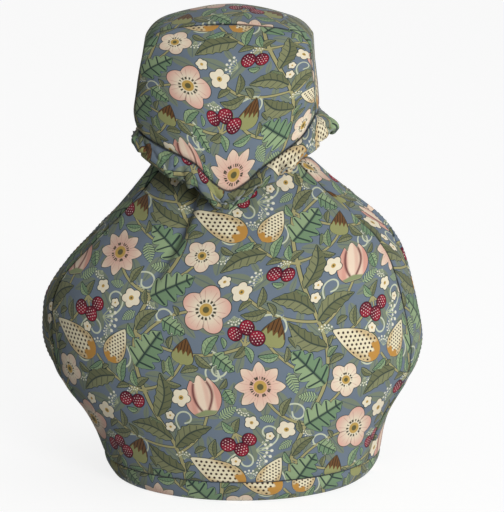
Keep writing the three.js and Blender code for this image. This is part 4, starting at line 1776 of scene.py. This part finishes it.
@dataclass
class Body(Assembly):
    """The pear-shaped body: a front and a back panel, and two side strips slit for spout and handle.

    widest is the height that a panel's columns are spaced at, and drag_off how far from the ends of a
    slit its drag lines are strongest.
    """

    panel_steps: tuple[int, int] = (240, 296)
    strip_steps: tuple[int, int] = (216, 50)
    widest: float = 84.0
    drag_off: float = 12.0

    CUTS: ClassVar[dict[str, Cut]] = {
        "front_panel": Cut(216, 172, 30800, (36, 21), 31, 4, "draped", ("hem_band",)),
        "back_panel": Cut(214, 171, 30400, (3, 30), 41, 4, "draped", ("hem_band",)),
        "left_side_strip": Cut(87, 190, 10100, (63, 30), 51, 1, "draped", ("hem_band",)),
        "right_side_strip": Cut(86, 187, 9900, (40, 60), 61, 1, "draped", ("hem_band",)),
    }
    ENDS: ClassVar[dict[str, Edge]] = {**Assembly.SEWN, "low": Edge.PRESSED}
    # where across each panel its one long crease runs
    CREASES: ClassVar[dict[Side, float]] = {Side.FRONT: -0.43, Side.BACK: 0.36}

    def lay_out(self) -> None:
        """Make the grids and reliefs of all four pieces."""
        for side in Side:
            self._lay_panel(side)
        for hand in Hand:
            self._lay_strip(hand)

    def _lay_panel(self, side: Side) -> None:
        """Make the grid and relief of one panel.

        Args:
            side: Front or back.
        """
        form, (rows, columns) = self.room.form, self.panel_steps
        z = even_steps(lambda at: form.panel(side, 0.0, at), form.hem_top, form.neck_top, rows + 1)
        across = even_steps(lambda at: form.panel(side, at, self.widest), -1, 1, columns + 1)
        z, across = z[:, None], across[None, :] * -side.facing
        name = f"{side.value}_panel"
        grid = self._grid(name, form.panel(side, across, z), self.ENDS)
        soft, small = self._wrinkles(name)
        x, y = grid.cloth_x, grid.cloth_y
        relief = 0.8 * soft.at(x / 34, y / 46) + 0.2 * small.at(x / 13, y / 17)
        gather = np.exp(-grid.from_end("high") / 16)
        relief += 0.5 * gather * np.sin(2 * math.pi * x / 9.5 + 2.4 * soft.at(x / 24, y / 60 + 9))
        drag = small.at((x + 0.6 * y) / 30, (y - 0.6 * x) / 9)
        relief += 0.2 * drag * np.exp(-np.minimum(grid.from_end("left"), grid.from_end("right")) / 24)
        half = (read_off(CosyForm.BODY, 3, z) - read_off(CosyForm.BODY, 2, z)) / 2
        off = (across - self.CREASES[side]) * half + 1.2 * np.sin(z / 13)
        window = np.sin(math.pi * np.clip((z - 104) / 66, 0, 1)) ** 0.8
        relief -= 1.8 * np.exp(-((off / 2.2) ** 2)) * window
        relief += 0.7 * np.exp(-(((off - 4.6) / 3.2) ** 2)) * window
        grid.relief = relief + grid.puckers(small)

    def _lay_strip(self, hand: Hand) -> None:
        """Make the grid and relief of one side strip, from its left seam past its slit to its right seam.

        Args:
            hand: Left or right.
        """
        form, (rows, columns) = self.room.form, self.strip_steps
        z = even_steps(lambda at: form.strip(hand, 0.0, at), form.hem_top, form.neck_top, rows + 1)[:, None]
        open_half = form.slit(hand, z)
        shares = np.linspace(0, 1, columns + 1)[None, :]
        first, second = mix(-1, -open_half, shares), mix(open_half, 1, shares)
        through = np.concatenate([first, second], 1) * (1 if hand is Hand.RIGHT else -1)
        name = f"{hand.value}_side_strip"
        slit = (columns + 1, open_half[:, 0] > 1e-6)
        grid = self._grid(name, form.strip(hand, through, z), self.ENDS, slit)
        soft, small = self._wrinkles(name)
        x, y = grid.cloth_x, grid.cloth_y
        relief = 0.45 * soft.at(x / 30, y / 38) + 0.16 * small.at(x / 12, y / 14)
        for end in form.SLITS[hand]:
            away = np.hypot(x, (z - end) * 1.1)
            rays = np.cos(5 * np.arctan2(x, np.abs(z - end) + 1e-6))
            relief += 0.5 * rays * np.exp(-((away - self.drag_off) ** 2) / 90)
        gather = np.exp(-grid.from_end("high") / 14)
        relief += 0.4 * gather * np.sin(2 * math.pi * x / 8.5 + 2 * soft.at(x / 20, y / 50 + 9))
        grid.relief = relief + grid.puckers(small)


@dataclass
class HemBand(Assembly):
    """The band that the cosy stands on, rolled in under the pot and joined at the back.

    joined_at is where its ends meet and spaced_at where its rows are spaced, both in turns. flat_below
    is the height that its relief starts from.
    """

    steps: tuple[int, int] = (28, 640)
    joined_at: float = 0.625
    spaced_at: float = 0.125
    flat_below: float = 1.5

    CUTS: ClassVar[dict[str, Cut]] = {
        "hem_band": Cut(456, 22, 9800, (18, 4), 71, 2, "folded", ("front_panel", "back_panel")),
    }
    ENDS: ClassVar[dict[str, Edge]] = {**dict.fromkeys(Assembly.SEWN, Edge.PRESSED), "low": Edge.LIP}

    def lay_out(self) -> None:
        """Make the grid and relief of the band."""
        form, (rows, columns) = self.room.form, self.steps
        start = self.joined_at
        turn = even_steps(lambda at: form.body_edge(at, form.hem_top), start, start + 1, columns + 1)
        section = np.array(self.spaced_at)
        share = even_steps(lambda at: form.hem_fold(section, at), 1, 0, rows + 1)
        points = form.hem_fold(turn[None, :], share[:, None])
        grid = self._grid("hem_band", points, self.ENDS)
        soft, small = self._wrinkles("hem_band")
        lifted = np.clip((points[..., 2] - self.flat_below) / 5, 0, 1)
        x, y = grid.cloth_x, grid.cloth_y
        grid.relief = lifted * (0.35 * soft.at(x / 26, y / 30) + grid.puckers(small))
        grid.relief -= lifted * 0.5 * np.maximum(0, soft.at(x / 9 + 5, y / 40)) ** 2


@dataclass
class Collar(Assembly):
    """The crumpled fold that covers the neck: it hangs from the hood and returns to the body.

    joined_at is where its ends meet, in turns, and hanging the share of its section that hangs.
    """

    thickness: float = 2.2
    steps: tuple[int, int] = (76, 420)
    joined_at: float = 0.625
    hanging: float = 0.66

    CUTS: ClassVar[dict[str, Cut]] = {
        "collar": Cut(396, 47, 15500, (69, 51), 81, 1, "gathered", ("hood_front", "hood_back")),
    }
    # how far along the section each of its seven points lies, from the hood to the neck
    KNOTS: ClassVar[tuple[float, ...]] = (0, 0.09, 0.24, 0.34, 0.44, 0.72, 1)

    def lay_out(self) -> None:
        """Make the grid and relief of the collar, crumpled most where it hangs and not at its seams."""
        form, (rows, columns) = self.room.form, self.steps
        start = self.joined_at
        turn = even_steps(lambda at: form.collar_fold(at)[:, 2], start, start + 1, columns + 1)
        share = np.linspace(1, 0, rows + 1)
        knots = np.moveaxis(form.collar_fold(turn), 1, 0)
        grid = self._grid("collar", through_knots(np.array(self.KNOTS), knots, share), self.SEWN)
        folds, small = self._wrinkles("collar")
        x, y = grid.cloth_x, grid.cloth_y
        hangs = np.sin(math.pi * np.clip(share[:, None] / self.hanging, 0, 1)) ** 0.55
        warp_x = x + 4 * folds.at(x / 21, y / 16 + 3)
        warp_y = y + 3 * small.at(x / 15 + 8, y / 13)
        slant_x, slant_y = warp_x + 0.9 * warp_y, warp_y - 0.35 * warp_x
        relief = 1.2 * folds.at(slant_x / 11, slant_y / 14)
        relief -= 2.1 * (1 - folds.crease(slant_x / 12 + 20, slant_y / 9))
        relief -= 1.6 * (1 - small.crease(slant_x / 7, slant_y / 6 + 5))
        relief += 0.6 * small.at(x / 3.6, y / 4.2)
        grid.relief = hangs * relief + grid.puckers(small)


@dataclass
class Hood(Assembly):
    """The closed, boxed hood over the pot's knob: two pointed panels and the strip between them.

    Columns are spaced by the panels' width at panel_up, and the strip's rows at strip_along.
    """

    thickness: float = 3.2
    panel_steps: tuple[int, int] = (112, 176)
    panel_up: float = 0.4
    strip_steps: tuple[int, int] = (86, 264)
    strip_along: float = 1.5

    CUTS: ClassVar[dict[str, Cut]] = {
        "hood_front": Cut(126, 87, 6950, (46, 66), 91, 2, "draped", ("collar",)),
        "hood_back": Cut(125, 86, 6950, (15, 20), 94, 2, "draped", ("collar",)),
        "hood_strip": Cut(182, 63, 11200, (108, 15), 97, 2, "draped", ("collar",)),
    }

    def lay_out(self) -> None:
        """Make the grids and reliefs of the three pieces."""
        form, (rows, columns) = self.room.form, self.panel_steps
        for side in Side:
            name = f"hood_{side.value}"
            up = even_steps(lambda at: form.hood_panel(side, 0.0, at), 0, 1, rows + 1)
            across = even_steps(lambda at: form.hood_panel(side, at, self.panel_up), -1, 1, columns + 1)
            points = form.hood_panel(side, across[None, :] * -side.facing, up[:, None])
            grid = self._grid(name, points, self.SEWN)
            gather = self._wrinkles(name)[0].at(grid.cloth_x / 6.5 + 30, grid.cloth_y / 30)
            self._soften(name, 0.5 * np.exp(-grid.from_end("low") / 9) * gather)
        rows, columns = self.strip_steps
        along = even_steps(lambda at: form.hood_edge_strip(0.0, at), 0, 3, columns + 1)
        through = even_steps(lambda at: form.hood_edge_strip(at, self.strip_along), -1, 1, rows + 1)
        self._grid("hood_strip", form.hood_edge_strip(through[:, None], along[None, :]), self.SEWN)
        self._soften("hood_strip", 0.0)

    def _soften(self, name: str, gathers: Array | float) -> None:
        """Make the relief of one piece from its softness, its gathers and its puckers.

        Args:
            name: The piece's solid.
            gathers: How far its gathers stand off.
        """
        grid, (soft, small) = self.grids[name], self._wrinkles(name)
        x, y = grid.cloth_x, grid.cloth_y
        relief = 0.45 * soft.at(x / 28, y / 30) + 0.18 * small.at(x / 11, y / 12)
        grid.relief = relief + gathers + grid.puckers(small)


@dataclass
class Stitching:
    """The machine stitches that show in the seams, and those that hold the slits' turned edges.

    slit_inset is how many columns outside a slit's lips its stitches run, and slit_beyond how many rows
    they go on past its ends.
    """

    pitch: float = 2.7
    length: float = 2.0
    thick: float = 0.42
    seed: int = 5
    slit_inset: int = 6
    slit_beyond: int = 5

    # the ends of the pieces that run along a seam that shows
    SEAMS: ClassVar[dict[str, tuple[str, ...]]] = {
        "front_panel": ("left", "right"),
        "back_panel": ("left", "right"),
        "hood_front": ("left", "high", "right"),
        "hood_back": ("left", "high", "right"),
        "hem_band": ("high",),
        "collar": ("high",),
    }

    def build(self, grids: dict[str, ClothGrid], thread: Material) -> None:
        """Make one mesh of all the stitches.

        Args:
            grids: The grid of every piece of cloth.
            thread: The thread's material.
        """
        faces = {name: grid.faces()[0] for name, grid in grids.items()}
        paths = [faces[name][grids[name].border(end)] for name, ends in self.SEAMS.items() for end in ends]
        for name, grid in grids.items():
            if grid.slit:
                column, open_rows = grid.slit
                shown = np.nonzero(open_rows)[0]
                low, high = shown[0] - self.slit_beyond, shown[-1] + self.slit_beyond
                rows = np.arange(max(low, 0), min(high + 1, len(open_rows)))
                beside = (column - 1 - self.slit_inset, column + self.slit_inset)
                paths += [faces[name][rows, at] for at in beside]
        piece = self._sewn(paths, thread)
        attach(piece, "root")
        log.info("%s: %d faces", piece.name, len(piece.data.polygons))

    def _sewn(self, paths: list[Array], thread: Material) -> bpy.types.Object:
        """Set stitches along paths with geometry nodes.

        Args:
            paths: The points of each path.
            thread: The thread's material.

        Returns:
            The stitches, as a plain mesh.
        """
        edges, start = [], 0
        for path in paths:
            edges += [(start + i, start + i + 1) for i in range(len(path) - 1)]
            start += len(path)
        lines = bpy.data.meshes.new("stitch_lines")
        lines.from_pydata((np.concatenate(paths) * MM).tolist(), edges, [])
        guide = bpy.data.objects.new("stitch_lines", lines)
        bpy.context.scene.collection.objects.link(guide)
        modifier = guide.modifiers.new("stitches", "NODES")
        modifier.node_group = self._tree(thread)
        lengths = {"Pitch": self.pitch, "Length": self.length, "Thickness": self.thick}
        given = {"Seed": self.seed, **{name: length * MM for name, length in lengths.items()}}
        for item in modifier.node_group.interface.items_tree:
            if item.in_out == "INPUT" and item.name in given:
                modifier[item.identifier] = given[item.name]
        depsgraph = bpy.context.evaluated_depsgraph_get()
        mesh = bpy.data.meshes.new_from_object(guide.evaluated_get(depsgraph), depsgraph=depsgraph)
        mesh.name = "seam_stitches"
        guide.modifiers.remove(modifier)
        bpy.data.objects.remove(guide)
        piece = bpy.data.objects.new("seam_stitches", mesh)
        bpy.context.scene.collection.objects.link(piece)
        return piece

    @staticmethod
    def _tree(thread: Material) -> bpy.types.GeometryNodeTree:
        """Build the node tree that sets one uneven stitch at every step of its paths.

        Args:
            thread: The thread's material.

        Returns:
            The tree.
        """
        tree = bpy.data.node_groups.new("stitches", "GeometryNodeTree")
        kinds = {"Geometry": "Geometry", "Pitch": "Float", "Length": "Float", "Thickness": "Float"}
        for name, kind in {**kinds, "Seed": "Int"}.items():
            tree.interface.new_socket(name, in_out="INPUT", socket_type=f"NodeSocket{kind}")
        tree.interface.new_socket("Geometry", in_out="OUTPUT", socket_type="NodeSocketGeometry")
        bench = NodeBench(tree)
        given = bench.add("NodeGroupInput").outputs
        curve = bench.add("GeometryNodeMeshToCurve", {}, {"Mesh": given["Geometry"]}).outputs[0]
        values = {"Curve": curve, "Length": given["Pitch"]}
        spots = bench.add("GeometryNodeCurveToPoints", {"mode": "LENGTH"}, values).outputs
        values = {"Segments": 8, "Rings": 5, "Radius": 0.5}
        ball = bench.add("GeometryNodeMeshUVSphere", {}, values).outputs[0]
        values = {"X": given["Length"], "Y": given["Thickness"], "Z": given["Thickness"]}
        size = bench.add("ShaderNodeCombineXYZ", {}, values).outputs[0]
        stitch = bench.add("GeometryNodeTransform", {}, {"Geometry": ball, "Scale": size}).outputs[0]
        values = {"Vector": spots["Tangent"]}
        turned = bench.add("FunctionNodeAlignRotationToVector", {"axis": "X"}, values).outputs[0]
        # the smallest and the largest share of a stitch's length, width and height
        values = {0: (0.85, 0.9, 0.9), 1: (1.1, 1.1, 1.1), "Seed": given["Seed"]}
        uneven = bench.add("FunctionNodeRandomValue", {"data_type": "FLOAT_VECTOR"}, values).outputs[0]
        values = {"Points": spots["Points"], "Instance": stitch, "Rotation": turned, "Scale": uneven}
        placed = bench.add("GeometryNodeInstanceOnPoints", {}, values).outputs[0]
        real = bench.add("GeometryNodeRealizeInstances", {}, {"Geometry": placed}).outputs[0]
        smooth = bench.add("GeometryNodeSetShadeSmooth", {}, {"Geometry": real}).outputs[0]
        values = {"Geometry": smooth, "Material": thread}
        done = bench.add("GeometryNodeSetMaterial", {}, values).outputs[0]
        bench.add("NodeGroupOutput", {}, {"Geometry": done})
        return tree


@dataclass(frozen=True)
class Studio:
    """The camera, the lamp, the pale floor and the light of the surroundings.

    azimuth and elevation are in degrees and lamp_power is in watts. lamp_aim is the height that the
    lamp points at, and floor_half is half of the floor's side.
    """

    azimuth: float = 2.0
    elevation: float = 10.0
    distance: float = 1100.0
    lens: float = 148.7
    sensor: float = 36.0
    aim_x: float = 9.65
    aim_z: float = 112.6
    lamp_at: tuple[float, float, float] = (1760.0, -3020.0, 630.0)
    lamp_size: float = 1440.0
    lamp_power: float = 90.7
    lamp_aim: float = 110.0
    floor_half: float = 9000.0

    def build(self) -> None:
        """Make everything that isn't the cosy."""
        self._camera()
        self._floor()
        self._lamp()
        self._surroundings()
        bpy.context.scene.view_settings.view_transform = "Standard"

    @staticmethod
    def _surroundings() -> None:
        """Light the cosy softly, most from its right, in front of a plain white ground."""
        world = bpy.data.worlds.new("studio")
        world.use_nodes = True
        bench = NodeBench(world.node_tree)
        values = {0: bench.add("ShaderNodeTexCoord").outputs["Generated"], 1: (0.9, 0, 0.3)}
        facing = bench.add("ShaderNodeVectorMath", {"operation": "DOT_PRODUCT"}, values)
        values = {0: facing.outputs["Value"], 1: -0.7, 2: 0.7, 3: 0.15, 4: 0.54}
        side = bench.add("ShaderNodeMapRange", {}, values).outputs[0]
        seen = bench.add("ShaderNodeLightPath").outputs["Is Camera Ray"]
        strength = bench.add("ShaderNodeMix", {}, {0: seen, 2: side, 3: 0.95}).outputs[0]
        bench.feed(world.node_tree.nodes["Background"], {"Strength": strength, "Color": (1, 1, 1, 1)})
        bpy.context.scene.world = world

    def _camera(self) -> None:
        """Set the camera up at the angle that the cosy is shown from."""
        turn, tilt = math.radians(self.azimuth), math.radians(self.elevation)
        flat = math.cos(tilt)
        forward = Vector((-math.sin(turn) * flat, math.cos(turn) * flat, -math.sin(tilt)))
        data = bpy.data.cameras.new("camera")
        data.lens, data.sensor_width = self.lens, self.sensor
        data.clip_start, data.clip_end = 0.05, 60.0
        camera = bpy.data.objects.new("camera", data)
        bpy.context.scene.collection.objects.link(camera)
        aim = Vector((self.aim_x, 0, self.aim_z)) * MM
        camera.location = aim - forward * self.distance * MM
        camera.rotation_mode = "QUATERNION"
        camera.rotation_quaternion = forward.to_track_quat("-Z", "Y")
        bpy.context.scene.camera = camera

    def _floor(self) -> None:
        """Lay the pale floor, which glows a little and is hidden from soft reflections."""
        mesh = bpy.data.meshes.new("floor")
        half = self.floor_half * MM
        corners = [(-half, -half, 0), (half, -half, 0), (half, half, 0), (-half, half, 0)]
        mesh.from_pydata(corners, [], [(0, 1, 2, 3)])
        floor = bpy.data.objects.new("floor", mesh)
        bpy.context.scene.collection.objects.link(floor)
        pale = {"Base Color": (0.3, 0.3, 0.3, 1), "Roughness": 0.9, "Specular IOR Level": 0.0}
        glow = {"Emission Color": (1, 1, 1, 1), "Emission Strength": 0.82}
        mesh.materials.append(MaterialBench("pale_floor").dress({**pale, **glow}))
        floor.visible_diffuse = False
        floor.visible_glossy = False

    def _lamp(self) -> None:
        """Hang one soft lamp that points at the cosy."""
        data = bpy.data.lights.new("key", "AREA")
        data.shape, data.size, data.energy = "DISK", self.lamp_size * MM, self.lamp_power
        lamp = bpy.data.objects.new("key", data)
        bpy.context.scene.collection.objects.link(lamp)
        at = Vector([part * MM for part in self.lamp_at])
        lamp.location = at
        lamp.rotation_mode = "QUATERNION"
        lamp.rotation_quaternion = (Vector((0, 0, self.lamp_aim * MM)) - at).to_track_quat("-Z", "Y")


def main() -> None:
    """Build the cosy piece by piece, then the studio."""
    logging.basicConfig(level=logging.INFO, format="%(message)s", stream=sys.stdout)
    room = Workroom(CosyForm.from_solids(), PrintLayout(), PrintedCotton().make(), PlainReverse().make())
    log.info("print laid out with %d shapes", len(room.layout.motifs))
    assemblies = [kind(room) for kind in (Body, HemBand, Collar, Hood)]
    for assembly in assemblies:
        assembly.lay_out()
    room.seams.share()
    for assembly in assemblies:
        assembly.build()
    grids = {name: grid for assembly in assemblies for name, grid in assembly.grids.items()}
    Stitching().build(grids, SewingThread().make())
    Studio().build()


if __name__ == "__main__":
    main()
